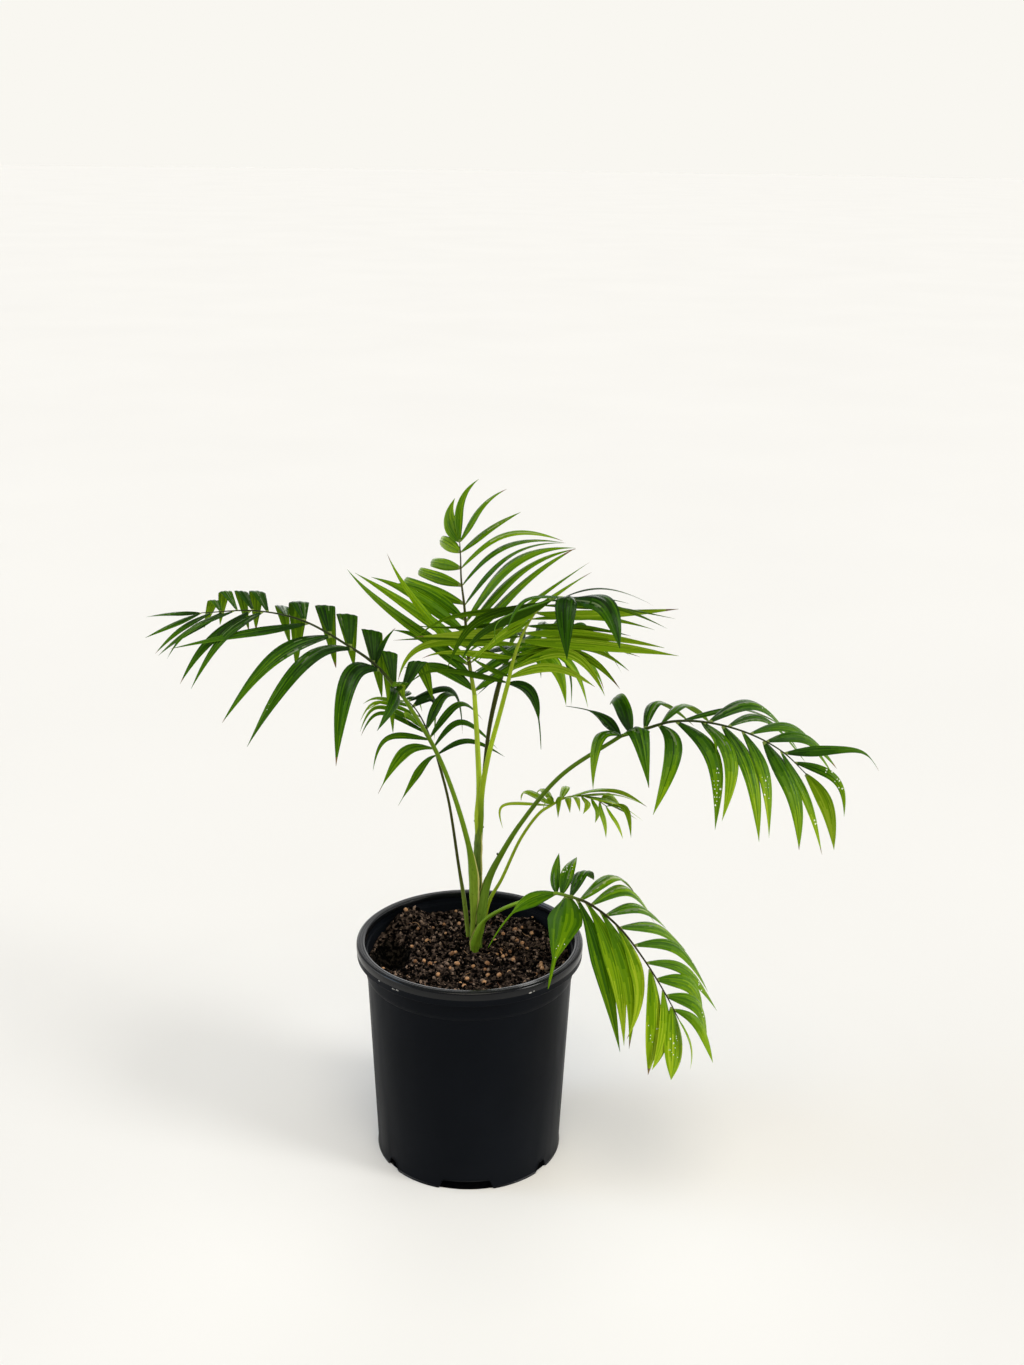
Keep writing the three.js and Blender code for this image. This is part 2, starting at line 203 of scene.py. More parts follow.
LEAFLETS = {
    "left": [
        # near
        Side((0.4, 3.2), (2.2, 3.2), crisp=1.4, rows=[
            (0.07, 396, 698, 377, 731, -48, 13, -0.6), (0.17, 350, 679, 336, 766, -52, 16, 0),
            (0.2, 384, 643, 396, 627.5, 16, 5, -0.6), (0.36, 304, 661, 247, 747, -58, 14, 0),
            (0.47, 277, 655, 222, 723, -54, 13, 0.2), (0.57, 240, 634, 170, 649, -40, 8, 0.2),
            (0.77, 224, 636, 191, 689, -46, 9, 0.2), (0.82, 209, 641, 180, 684, -42, 9, 0),
            (0.88, 192, 628, 167, 659, -34, 7, 0.2), (0.92, 186, 633, 158, 656, -28, 7, -0.4),
            (0.96, 182, 628, 155, 654, -20, 6, 0.2), (1, 182, 620, 145, 638, -12, 7, 0.4),
            (1, 180, 612, 146, 617, 8, 9, 0),
        ]),
        # far
        Side((1.4, 2.2), (1, 2.6), crisp=8, reach=0.6, full=None, level=0.9, rows=[
            (0.02, 419, 661, 433, 700, 46, 15, -0.4), (0.03, 403, 682, 397, 693, 4, 9, 1.2),
            (0, 400, 683, 391, 688, -2, 9, 1.8), (0.07, 389, 652, 393, 733, 48, 15, 0),
            (0.21, 372, 630, 382, 698, 54, 18, 0), (0.38, 347, 614, 354, 667, 54, 18, 0),
            (0.48, 325, 605, 336, 668, 54, 17, 0), (0.59, 299, 602, 296, 669, 52, 17, 0),
            (0.67, 282, 606, 290, 645, 50, 12, 0), (0.75, 257, 591, 256, 630, 48, 13, 0),
            (0.81, 241, 591, 249, 631, 44, 11, 0), (0.87, 225, 591, 220, 625, 38, 10, 0.8),
            (0.93, 214, 600, 204, 628, 30, 10, 1.2),
        ]),
    ],
    "left_small": [
        # near
        Side((2, 3.6), (2.1, 3.3), crisp=1.6, full=0.4, taper=1.2, rows=[
            (0.28, 388, 738, 373, 771, 44, 6, 0.6),
        ]),
        # near, tailed
        Side((2, 3.6), (2.1, 3.3), crisp=1.8, full=0.44, taper=1.2, rise=1.2, tail=0.1, rows=[
            (0, 423, 766, 398, 806, 34, 7, 0.8), (0.12, 405, 752, 378, 794, 32, 10, 0.8),
        ]),
        # near, fanned
        Side((2.6, 4.6), (1.8, 3), crisp=2, full=0.4, rows=[
            (0.38, 382, 713, 361, 736, 48, 5, -0.4), (0.46, 406, 714, 410, 728, 40, 6, 0.8),
            (0.52, 379, 707, 360, 732, 56, 5, 0.6), (0.64, 378, 702, 360, 722, 64, 4.5, 2),
            (0.78, 380, 698, 363, 704, 74, 5.5, 0.6), (0.9, 384, 701, 364, 712, 84, 4, 2.4),
        ]),
        # far
        Side((1, 2.4), (1.8, 2.8), crisp=1.8, rows=[
            (0, 468, 741, 505, 757, 52, 5, 0.4), (0.14, 462, 722, 497.5, 749, 78, 5.5, 0.8),
            (0.32, 459, 704, 482.5, 720, 100, 7, 1), (0.48, 443, 697, 458, 697, 112, 9, 1),
            (0.8, 434, 697, 434, 741, 100, 12, -0.6), (0.9, 452, 690, 462.5, 734, 106, 7, -0.6),
            (0.95, 417, 698, 422, 712, 112, 6, 1), (1, 409, 691, 398, 697, 120, 6, 0),
        ]),
    ],
    "upright": [
        # right
        Side((3.8, 4.8), (2.6, 3.4), crisp=1.2, roll=-46, rows=[
            (0.02, 512, 664, 566, 640, 52, 12, -1), (0.09, 520, 645, 580, 612, 48, 12, -1),
            (0.16, 540, 606, 592, 572, 46, 8, 0.8), (0.22, 530, 603, 590, 562, 48, 8, 0.2),
            (0.28, 522, 584, 576, 548, 50, 11, 0), (0.33, 517, 574, 576, 549, 54, 12, 0),
            (0.39, 512, 563, 575, 548, 60, 16, 0.2), (0.5, 508, 556, 566, 543, 66, 9, -1),
            (0.63, 505, 546, 565, 543, 74, 9, -1), (0.75, 506, 534, 563, 541, 82, 10, 0.2),
            (0.88, 486, 531, 521, 512, 98, 10, 0), (1, 480, 508, 507, 489, 104, 11, 0.2),
            (1, 461, 503, 479, 479, 110, 7.5, 0),
        ]),
        # left
        Side((3.8, 5), (2.6, 3.4), crisp=1.3, rows=[
            (0.02, 440, 668, 404, 668, 70, 10, -1), (0.09, 430, 642, 392, 630, 56, 10, -1),
            (0.17, 415, 600, 387, 553.5, 12, 8, 1), (0.15, 388, 608, 347, 569, 34, 10, -0.8),
            (0.24, 402, 602, 355, 573, 42, 10, 0.6), (0.32, 414, 595, 371, 577, 50, 11, 0),
            (0.4, 424, 590, 390, 585, 64, 10, -0.4), (1, 449, 519, 455, 498, 112, 13, 0.2),
        ]),
        # folded back
        Side((4.8, 6), (2.2, 3), crisp=1.4, reach=0.45, full=0.24, taper=1.2, rows=[
            (0.51, 406, 580, 428, 589, 150, 10.5, -0.6), (0.63, 419, 571, 444, 579, 160, 10.5, 0),
            (0.75, 431, 562, 450, 569, 160, 10.5, 0), (0.88, 440, 540.5, 453, 553, 160, 12, 0.2),
        ]),
    ],
    "centre_front": [
        # right
        Side((2.1, 4.1), (2.6, 3.8), crisp=1.3, rows=[
            (0.05, 552, 667, 595, 687, 8, 10, 1.2), (0.11, 568, 653, 605, 696, 14, 10, 0.6),
            (0.17, 574, 652, 620, 689, 20, 11, -1), (0.22, 580, 646, 629, 671, 24, 9, -0.4),
            (0.28, 584, 644, 640, 657, 26, 7, -0.6), (0.33, 594, 644, 679, 656, 20, 13, 0.8),
            (0.39, 588, 634, 665, 648, 14, 12, 0.4), (0.45, 582, 627, 631, 636, 8, 8, -2.4),
            (0.51, 592, 616, 655, 630, 2, 9, -0.6), (0.57, 602, 613, 679, 609, -4, 13, 0.6),
            (0.64, 603, 606, 676, 619, -10, 9, -1.2), (0.71, 604, 603, 668, 629, -18, 11, -1.6),
            (0.8, 600, 598, 630, 604, -30, 9, -2), (0.88, 606, 588.5, 654, 606, -36, 5, -2),
        ]),
        # right, turned over
        Side((0.6, 2.4), (0.8, 2), roll=180, full=0.28, taper=1.3, tail=0.34, rows=[
            (0, 533, 699, 541, 750, -14, 12, -0.2),
        ]),
        # tip
        Side((0.8, 2), (2, 3), crisp=1.6, full=0.34, rows=[
            (0.95, 605, 603, 620, 649, -92, 22, 0), (1, 566, 603, 567, 660, -102, 17, -0.2),
        ]),
        # left
        Side((2.2, 4.2), (2.6, 3.8), crisp=1.6, rows=[
            (0.01, 441, 670, 408, 685, -6, 6, -2.4), (0.06, 489, 668, 470, 657, 0, 5, -2.2),
            (0.14, 496, 656, 477, 646, 0, 5, -2.2), (0.22, 505, 651, 497, 641, -4, 4, -2),
            (0.2, 452, 652, 422, 658.5, 2, 7, 0.6), (0.3, 428, 644, 398, 681, 0, 10, 0.8),
            (0.36, 436, 638, 393, 640.5, -6, 6, -2.2), (0.42, 452, 634, 413, 637, -10, 12, 0.9),
            (0.5, 455, 627, 405, 624.5, -8, 5, -2), (0.51, 494, 641, 464, 664, -30, 12, 0.6),
            (0.57, 503, 630, 476, 660, -40, 12, 0.6),
        ]),
        # left, arching
        Side((0.8, 2.2), (1.2, 2.4), crisp=2.2, full=0.4, rows=[
            (0.62, 455, 616, 415, 638, -34, 7, 0.2, 25), (0.68, 476, 622, 446, 671.5, -54, 9, -1.8, 35),
            (0.76, 484, 631, 460, 664, -64, 12, -1.8, 48), (0.84, 500, 620, 499, 651.5, -70, 5, 2.4),
            (0.92, 526, 599, 506, 632, -88, 8, 0.8),
        ]),
    ],
    "centre_back": [
        # near
        Side((3.4, 4.8), (2.6, 3.6), rows=[
            (0.08, 534, 656, 541, 678, 40, 6, -0.6), (0.22, 553, 662, 566, 705, 42, 15, 0.6),
            (0.36, 569, 661, 588, 708, 46, 10, 0.4), (0.48, 566, 662, 571, 706, 50, 4, -1),
            (0.66, 588, 660, 604, 690, 66, 9, -0.4), (0.84, 602, 648, 622, 674, 84, 8, -0.4),
            (1, 604, 640, 630, 656, 104, 8, -0.4),
        ]),
        # far
        Side((1, 2.4), (0.6, 1.8), crisp=1.6, rows=[
            (0, 491, 681, 476, 696, 72, 5, -0.4), (0.08, 491, 663, 471, 674, 80, 5, -0.4),
            (0.2, 492, 650, 476, 663, 98, 7, -0.4), (0.34, 518, 630, 506, 655, 126, 9, 0),
            (0.5, 545, 622, 536, 646, 138, 10, 0), (0.68, 566, 622, 564, 650, 140, 10, 0),
            (0.84, 586, 628, 590, 652, 134, 8, 0), (1, 594, 636, 610, 656, 128, 7, 0),
        ]),
    ],
    "right": [
        # near
        Side((1.4, 5.2), (2, 3.4), rows=[
            (0.02, 598, 737, 593, 790, -42, 14, 0.4, -42), (0.26, 673, 750, 653, 815, -74, 15, 0),
            (0.35, 713, 757, 715, 830, -82, 14, -0.4), (0.46, 714, 736, 716, 753, -52, 6, -0.4),
            (0.47, 731, 757, 722, 821, -82, 14, 0.4), (0.55, 750, 768, 759, 842, -86, 16, 0.2),
            (0.63, 765, 773, 769, 838, -82, 13, 0.8), (0.73, 793, 790, 799, 850, -78, 18, 0.4),
            (0.82, 807, 798, 822, 855, -72, 10, 1.4), (0.91, 836, 780, 844, 817, -44, 8, 0.4),
        ]),
        # near, turned
        Side((3, 5), (2.6, 3.8), roll=-60, full=0.4, rows=[
            (0.99, 827, 803, 834, 850, -62, 16, 0.7),
        ]),
        # near, folded over
        Side((1.6, 3.8), (2, 3.4), crisp=1.2, full=0.14, taper=1.1, rows=[
            (0.1, 640, 733, 649, 788, -58, 23, -0.2),
        ]),
        # far
        Side((1.8, 4.6), (2, 3.2), crisp=1.8, taper=2.4, rows=[
            (0.08, 618, 699, 610, 705, 42, 14, -0.4), (0.18, 658, 701, 694, 726, 46, 12, 0),
            (0.27, 684, 704, 710, 723, 46, 12, 0.6), (0.37, 738, 708, 790, 730, 40, 11, 0),
            (0.49, 757, 704, 799, 752, 34, 13, 0), (0.57, 765, 718, 806, 763, 26, 10, 0),
            (0.66, 796, 729, 834, 777, 14, 10, 0.2), (0.74, 806, 738, 837, 769, 4, 10, 0.4),
        ]),
        # far, hooked
        Side((1.6, 3.8), (2, 3.2), crisp=3, full=0.3, taper=1.2, tail=0.12, rows=[
            (0.84, 857, 750.5, 879, 771, -10, 9, 0),
        ]),
        # far, first
        Side((1.2, 3), (2, 3.2), crisp=1.8, full=0.3, taper=1.1, tail=0.34, rows=[
            (0, 598, 714, 565, 706, 30, 10, -0.8),
        ]),
    ],
    "right_small": [
        # near
        Side((5.2, 6.6), (3.6, 5), crisp=2.2, full=0.4, rows=[
            (0, 504, 805, 503, 829, 50, 4, 1), (0.02, 547, 799, 542, 812, 56, 8, 0),
            (0.14, 558, 798, 558, 818, 54, 7, 0), (0.3, 568, 799, 570, 813, 60, 6, 0),
            (0.42, 577, 798, 580, 812, 64, 6, 0), (0.56, 588, 803, 583, 814, 70, 7, 0),
            (0.72, 598, 810, 595, 823, 80, 9, 0), (0.88, 605, 820, 606, 838, 88, 11, 0),
            (1, 617, 822, 623, 839, 96, 10, 0),
        ]),
        # far
        Side((5.2, 6.4), (3.6, 5), crisp=1.6, rows=[
            (0.02, 527, 791, 521, 801, 106, 8, 0), (0.06, 543, 789, 536, 795, 116, 7, 0),
            (0.18, 566, 786, 560, 796, 128, 8, 0), (0.34, 610, 789, 647, 807, 140, 10, 0),
            (0.46, 612, 794, 642, 804, 142, 10, 0), (0.6, 614, 802, 643, 821, 142, 10, 0),
            (0.74, 610, 803, 638, 820, 142, 8, 0), (0.88, 612, 797, 624, 812, 140, 8, 0),
            (1, 625, 808, 631, 838, 134, 6, -1),
        ]),
    ],
    "right_low": [
        # near, first
        Side((3.4, 5.2), (2.6, 3.6), full=0.28, taper=1.05, tail=0.26, rows=[
            (0.1, 561, 926, 548, 989, -78, 32, 0),
        ]),
        # near, tailed
        Side((3.2, 4.8), (2.6, 3.6), crisp=1.2, full=0.27, taper=1.7, tail=0.46,
             facing=(0, -0.7, 0.7), rows=[
            (0, 519, 907, 488, 948, -52, 13, 0),
        ]),
        # near
        Side((4.2, 6.4), (2.6, 3.6), crisp=1.3, full=0.42, taper=1.25, rise=1.6,
             facing=(-0.2, -0.85, 0.5), rows=[
            (0.2, 598, 953, 620, 1052, -102, 16, -1.4), (0.29, 614, 963, 624, 1046, -114, 16, 0.4),
            (0.39, 628, 975, 629, 1049, -118, 14, -0.4), (0.48, 639, 984, 627, 1039, -124, 11, 0.8),
        ]),
        # near, end
        Side((4.4, 6), (2.6, 3.6), crisp=1.3, full=0.52, taper=2.2, rows=[
            (0.7, 655, 1020, 648, 1075, -132, 15, 0.4), (0.8, 665, 1034, 652, 1070, -136, 11, 0.6),
            (0.9, 675, 1046, 671, 1080, -136, 19, 0.4), (0.98, 691, 1044, 690, 1070, -132, 8, 0.4),
        ]),
        # far
        Side((3, 5.2), (2.6, 3.6), crisp=2, full=0.42, taper=2, rows=[
            (0, 555, 876, 559, 853, -14, 9, -1), (0.05, 568, 868, 577, 857, -8, 13, -0.4),
            (0.14, 582, 871, 594, 880, -8, 14, -1.6), (0.23, 612, 876, 634, 892, -12, 15, 0.4),
            (0.33, 628, 889, 655, 924, -16, 14, 0), (0.42, 640, 907, 668, 931, -24, 13, 0.2),
            (0.5, 658, 928, 686, 951, -36, 12, 0.2), (0.59, 678, 948, 708, 992, -52, 11, 0.2),
            (0.67, 686, 970, 717, 1011, -66, 10, 0.2), (0.75, 690, 985, 703, 1013, -76, 13, 0.6),
            (0.83, 698, 1006, 707, 1041, -88, 13, 0.6), (0.92, 698, 1024, 713, 1063, -102, 9, 0.4),
        ]),
    ],
}


# ---------------------------------------------------------------- materials


def linear(red, green, blue):
    """A shader colour from an 8-bit screen colour."""
    out = []
    for value in (red, green, blue):
        share = value / 255
        out.append(share / 12.92 if share <= 0.04045 else ((share + 0.055) / 1.055) ** 2.4)
    return (*out, 1.0)


def shade(colour, factor):
    return (*(min(1.0, channel * factor) for channel in colour[:3]), 1.0)


class Nodes:
    """Short calls that add nodes to a node tree."""

    def __init__(self, tree):
        self.tree = tree

    def node(self, kind, inputs=None, **settings):
        """A node with its settings, and with each input given a number, a colour or another's output."""
        made = self.tree.nodes.new(f"ShaderNode{kind}")
        for key, value in settings.items():
            setattr(made, key, value)
        for key, value in (inputs or {}).items():
            self.feed(made.inputs[key], value)
        return made

    def feed(self, socket, value):
        if isinstance(value, bpy.types.NodeSocket):
            self.tree.links.new(value, socket)
        else:
            socket.default_value = value

    def coordinates(self, scale=(1, 1, 1)):
        return self.mapped(self.node("TexCoord").outputs["Object"], scale)

    def uv(self, name, scale=(1, 1, 1)):
        return self.mapped(self.node("UVMap", uv_map=name).outputs["UV"], scale)

    def mapped(self, source, scale):
        return self.node("Mapping", {"Vector": source, "Scale": scale}).outputs["Vector"]

    def split(self, vector):
        return self.node("SeparateXYZ", {"Vector": vector}).outputs

    def noise(self, vector, scale, detail=3.0, rough=0.55):
        inputs = {"Vector": vector, "Scale": scale, "Detail": detail, "Roughness": rough}
        return self.node("TexNoise", inputs).outputs["Fac"]

    def spread(self, value, low, high, to_low=0.0, to_high=1.0):
        """The value's stretch from low to high, laid out from to_low to to_high and held there beyond it."""
        inputs = {"Value": value, "From Min": low, "From Max": high, "To Min": to_low, "To Max": to_high}
        return self.node("MapRange", inputs).outputs["Result"]

    def math(self, operation, first, second=0.0):
        return self.node("Math", {0: first, 1: second}, operation=operation).outputs[0]

    def mix(self, factor, first, second):
        inputs = {"Factor": factor, "A": first, "B": second}
        return self.node("Mix", inputs, data_type="RGBA").outputs["Result"]


class Shader(Nodes):
    """A material under construction, round its Principled shader."""

    def __init__(self, name, roughness, specular):
        self.material = bpy.data.materials.new(name)
        self.material.use_nodes = True
        super().__init__(self.material.node_tree)
        self.main = self.tree.nodes["Principled BSDF"]
        self.roughness(roughness)
        self.feed(self.main.inputs["Specular IOR Level"], specular)

    def colour(self, value):
        self.feed(self.main.inputs["Base Color"], value)

    def roughness(self, value):
        self.feed(self.main.inputs["Roughness"], value)

    def bump(self, height, strength, distance):
        made = self.node("Bump", {"Strength": strength, "Distance": distance, "Height": height})
        self.feed(self.main.inputs["Normal"], made.outputs["Normal"])


def leaf_material(name, colour, roughness, specular):
    """Living leaf in one tone: waxy, with fine veins along the leaflet and a slightly uneven gloss."""
    s = Shader(name, roughness, specular)
    s.colour(colour)
    veins = s.noise(s.uv("leaf", (9, 0.35, 1)), 1.0, 2.0)
    fine = s.noise(s.uv("leaf", (34, 0.8, 1)), 1.0, 1.0)
    mottle = s.noise(s.coordinates(), 60, 2.0)
    s.roughness(s.spread(mottle, 0.3, 0.7, roughness - 0.08, roughness + 0.1))
    s.bump(s.math("ADD", s.math("MULTIPLY", veins, 0.6), fine), 0.4, 0.0006)
    return s.material


def stalk_material(name, colour, map_name="limb", foot=None):
    """Stalks and ribs: smooth and waxy, with faint lengthwise ridges and small dark flecks.

    foot is another colour at the limb's start, with the lengths along it between which that fades.
    """
    s = Shader(name, 0.38, 0.09)
    ridges = s.noise(s.uv(map_name, (12, 0.06, 1)), 1.0, 2.0)
    slow = s.noise(s.coordinates(), 22, 2.0)
    flecks = s.noise(s.coordinates(), 420, 1.0)
    base = s.mix(s.spread(slow, 0.3, 0.7), shade(colour, 0.72), shade(colour, 1.18))
    if foot:
        foot_colour, low, high = foot
        along = s.split(s.uv(map_name))["Y"]
        base = s.mix(s.spread(along, low, high), linear(*foot_colour), base)
    lined = s.mix(s.spread(ridges, 0.35, 0.65, 0.0, 0.45), base, shade(colour, 0.66))
    s.colour(s.mix(s.spread(flecks, 0.69, 0.75, 0.0, 0.55), lined, shade(colour, 0.4)))
    s.roughness(s.spread(slow, 0.3, 0.7, 0.3, 0.48))
    s.bump(ridges, 0.3, 0.0005)
    return s.material


def stem_material():
    """The stem's sheaths: pale yellow-green where they part into stalks, duller lower down."""
    s = Shader("stem_skin", 0.4, 0.09)
    rise = s.spread(s.split(s.coordinates())["Z"], 0.29, 0.315)
    ridges = s.noise(s.uv("limb", (9, 0.05, 1)), 1.0, 2.0)
    flecks = s.noise(s.coordinates(), 420, 1.0)
    base = s.mix(rise, linear(92, 116, 44), linear(158, 184, 52))
    lined = s.mix(s.spread(ridges, 0.4, 0.6, 0.0, 0.8), base, linear(72, 96, 30))
    s.colour(s.mix(s.spread(flecks, 0.68, 0.74, 0.0, 0.6), lined, linear(52, 48, 24)))
    s.roughness(s.spread(ridges, 0.3, 0.7, 0.32, 0.5))
    s.bump(ridges, 0.35, 0.0006)
    return s.material


def pot_material():
    """Black nursery-pot plastic: satin, faintly dusty, with light scuffs."""
    s = Shader("pot_black_plastic", 0.42, 0.04)
    dust = s.noise(s.coordinates(), 9, 4.0)
    streak = s.noise(s.coordinates(scale=(1, 1, 0.12)), 60, 3.0)
    grain = s.noise(s.coordinates(), 1400, 2.0)
    plain = s.mix(s.spread(dust, 0.35, 0.7), linear(9, 12, 17), linear(15, 18, 23))
    scuffed = s.spread(s.noise(s.coordinates(scale=(1, 1, 3)), 75, 5.0, 0.7), 0.7, 0.82, 0.0, 0.2)
    s.colour(s.mix(scuffed, plain, linear(74, 74, 72)))
    s.roughness(s.spread(streak, 0.3, 0.7, 0.34, 0.5))
    s.bump(grain, 0.06, 0.0004)
    return s.material


def rim_material():
    """The pot's rolled rim: the same plastic, handled smoother."""
    s = Shader("pot_rim", 0.2, 0.25)
    dust = s.noise(s.coordinates(scale=(1, 1, 4)), 40, 4.0)
    s.colour(s.mix(s.spread(dust, 0.4, 0.75), linear(5, 7, 10), linear(14, 16, 18)))
    s.roughness(s.spread(dust, 0.3, 0.7, 0.15, 0.27))
    s.bump(dust, 0.08, 0.0005)
    return s.material


def speckled_material(name, colours, scale, spread, roughness=0.6, specular=0.2, detail=3.0, bump=0.0003):
    """Two screen colours broken up by one noise, which also gives the surface its bumps."""
    s = Shader(name, roughness, specular)
    speck = s.noise(s.coordinates(), scale, detail)
    first, second = colours
    s.colour(s.mix(s.spread(speck, *spread), linear(*first), linear(*second)))
    if bump:
        s.bump(speck, 0.3, bump)
    return s.material


def soil_material(name, dark, light):
    """Crumbly potting mix: broken colour at the size of its crumbs, fully matt."""
    s = Shader(name, 0.95, 0.03)
    crumbs = s.noise(s.coordinates(), 260, 5.0, 0.65)
    darker_mix = s.noise(s.coordinates(), 30, 2.0)
    base = s.mix(s.spread(crumbs, 0.48, 0.68), dark, light)
    s.colour(s.mix(s.spread(darker_mix, 0.35, 0.65, 0.0, 0.6), base, dark))
    s.bump(crumbs, 0.9, 0.0012)
    return s.material


def plain_material(name, colour, roughness=0.6, specular=0.3):
    """Small matter such as dry tips, crumbs and specks: one screen colour and a fine rough grain."""
    s = Shader(name, roughness, specular)
    s.colour(linear(*colour))
    mottle = s.noise(s.coordinates(), 300, 4.0)
    s.roughness(s.spread(mottle, 0.3, 0.7, roughness - 0.1, min(1.0, roughness + 0.1)))
    s.bump(mottle, 0.4, 0.0005)
    return s.material


# ---------------------------------------------------------------- lines


def smooth_line(stations, places):
    """Points at places, from 0 to 1, on the smooth line through the stations."""
    points = np.asarray(stations, float)[:, :3]
    ends = (2 * points[0] - points[1], 2 * points[-1] - points[-2])
    points = np.vstack([ends[0], points, ends[1]])
    gaps = np.sqrt(np.linalg.norm(np.diff(points, axis=0), axis=1))
    place = np.clip(np.asarray(places, float), 0, 1) * (len(stations) - 1)
    i = np.minimum(place.astype(int), len(stations) - 2)
    w = (place - i)[:, None]
    p0, p1, p2, p3 = points[i], points[i + 1], points[i + 2], points[i + 3]
    d0, d1, d2 = gaps[i][:, None], gaps[i + 1][:, None], gaps[i + 2][:, None]
    leave = ((p1 - p0) / d0 - (p2 - p0) / (d0 + d1) + (p2 - p1) / d1) * d1
    arrive = ((p2 - p1) / d1 - (p3 - p1) / (d1 + d2) + (p3 - p2) / d2) * d1
    near = (2 * w**3 - 3 * w**2 + 1) * p1 + (w**3 - 2 * w**2 + w) * leave
    return near + (3 * w**2 - 2 * w**3) * p2 + (w**3 - w**2) * arrive


def radii_at(stations, places):
    numbers = np.arange(len(stations)) / (len(stations) - 1)
    return np.interp(places, numbers, [s[3] for s in stations])


def unit(vectors):
    return vectors / np.linalg.norm(vectors, axis=-1, keepdims=True)


def tangents(points):
    return unit(np.gradient(points, axis=0))


def carried(first, along):
    """A direction carried along a line without twisting, one for each of its points."""
    out = []
    now = np.asarray(first, float)
    for tangent in along:
        now = unit(now - tangent * (now @ tangent))
        out.append(now)
    return np.array(out)


def smoothstep(x):
    x = np.clip(x, 0, 1)
    return x * x * (3 - 2 * x)


def on_circle(radius, angle, height):
    return radius * math.cos(angle), radius * math.sin(angle), height


# ---------------------------------------------------------------- meshes


class Pile:
    """Vertices, faces, material numbers and map corners of one piece, added shape by shape."""

    def __init__(self):
        self.points = []
        self.faces = []
        self.looks = []
        self.maps = []
        self.count = 0

    def add(self, points, faces, looks, corner_maps=None):
        points = np.asarray(points, float)
        self.points.append(points)
        for face in faces:
            self.faces.append(tuple(int(c) + self.count for c in face))
        if isinstance(looks, int):
            looks = [looks] * len(faces)
        self.looks.extend(looks)
        if corner_maps is None:
            corner_maps = np.zeros((len(points), 2))
        for face in faces:
            self.maps.extend(corner_maps[c] for c in face)
        self.count += len(points)

    def mesh(self, name, materials, map_name, sharp=50):
        """Makes the piece. sharp is the angle in degrees from which an edge is left hard."""
        data = bpy.data.meshes.new(name)
        data.from_pydata((np.vstack(self.points) * MM).tolist(), [], self.faces)
        for material in materials:
            data.materials.append(material)
        data.polygons.foreach_set("material_index", self.looks)
        data.polygons.foreach_set("use_smooth", [True] * len(self.faces))
        layer = data.uv_layers.new(name=map_name)
        layer.data.foreach_set("uv", np.asarray(self.maps, float).ravel())
        data.set_sharp_from_angle(angle=math.radians(sharp))
        data.update()
        piece = bpy.data.objects.new(name, data)
        bpy.context.scene.collection.objects.link(piece)
        return piece


def finish_piece(piece, nodes=()):
    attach(piece, "root")
    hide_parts(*nodes)


def grid_faces(rows, columns, closed):
    """Quads of a grid of points, with its columns joined round if closed."""
    faces = []
    across = columns if closed else columns - 1
    for i in range(rows - 1):
        for j in range(across):
            a = i * columns + j
            b = i * columns + (j + 1) % columns
            faces.append((a, b, b + columns, a + columns))
    return faces


def cap(first, sides, turned_over=False):
    """One face over a ring of points."""
    face = tuple(range(first, first + sides))
    return face[::-1] if turned_over else face


def patch_faces(sides):
    """A ring of points joined to a point above it, and to one below it."""
    up = [(k, (k + 1) % sides, sides) for k in range(sides)]
    return up + [((k + 1) % sides, k, sides + 1) for k in range(sides)]


def add_tube(pile, centres, radii, sides, look, ridge=0.0, seed=0):
    """A round limb with closed ends. ridge is the height of its lengthwise ridges."""
    centres = np.asarray(centres, float)
    along = tangents(centres)
    across = carried((0.3, 1, 0.1), along)
    back = np.cross(along, across)
    angles = np.arange(sides) * 2 * math.pi / sides
    wobble = 1 + ridge * np.cos(5 * angles + seed) + 0.5 * ridge * np.cos(3 * angles + 2 * seed)
    radii = np.asarray(radii, float)[:, None] * wobble[None, :]
    ring = across[:, None] * np.cos(angles)[None, :, None] + back[:, None] * np.sin(angles)[None, :, None]
    points = (centres[:, None] + ring * radii[..., None]).reshape(-1, 3)
    length = np.concatenate([[0], np.cumsum(np.linalg.norm(np.diff(centres, axis=0), axis=1))])
    u = np.tile(np.arange(sides) / sides, len(centres))
    faces = grid_faces(len(centres), sides, True)
    faces += [cap(0, sides, True), cap((len(centres) - 1) * sides, sides)]
    pile.add(points, faces, look, np.stack([u + seed, np.repeat(length, sides)], -1))


def ball(level):
    """Vertices and faces of a unit ball."""
    made = bmesh.new()
    bmesh.ops.create_icosphere(made, subdivisions=level, radius=1)
    points = np.array([v.co[:] for v in made.verts])
    faces = [tuple(v.index for v in f.verts) for f in made.faces]
    made.free()
    return points, faces


# ---------------------------------------------------------------- pot

POT_SEGMENTS = 300
# How many points of the section, from the first one of the foot's outer edge, rise at a drain notch.
FOOT_POINTS = 6
# The rolled rim with its two grooves on top, as (distance in from the lip's radius, drop from its top).
RIM_OUTLINE = [(0.25, 7), (0, 5), (0, 2.2), (0.15, 1.3), (0.6, 0.55), (1.3, 0.1), (2.4, 0), (2.8, 0.45),
               (3.2, 0.5), (3.5, 0.1), (4.5, 0.1), (4.8, 0.5), (5.2, 0.5), (5.5, 0.1)]
# The rim's outer face is upright between these drops from its top.
RIM_FACE = (9.6, 5)


def wall_radius(z):
    share = z / (POT["height"] - POT["lip_drop"])
    return POT["foot_radius"] + (POT["wall_top_radius"] - POT["foot_radius"]) * share


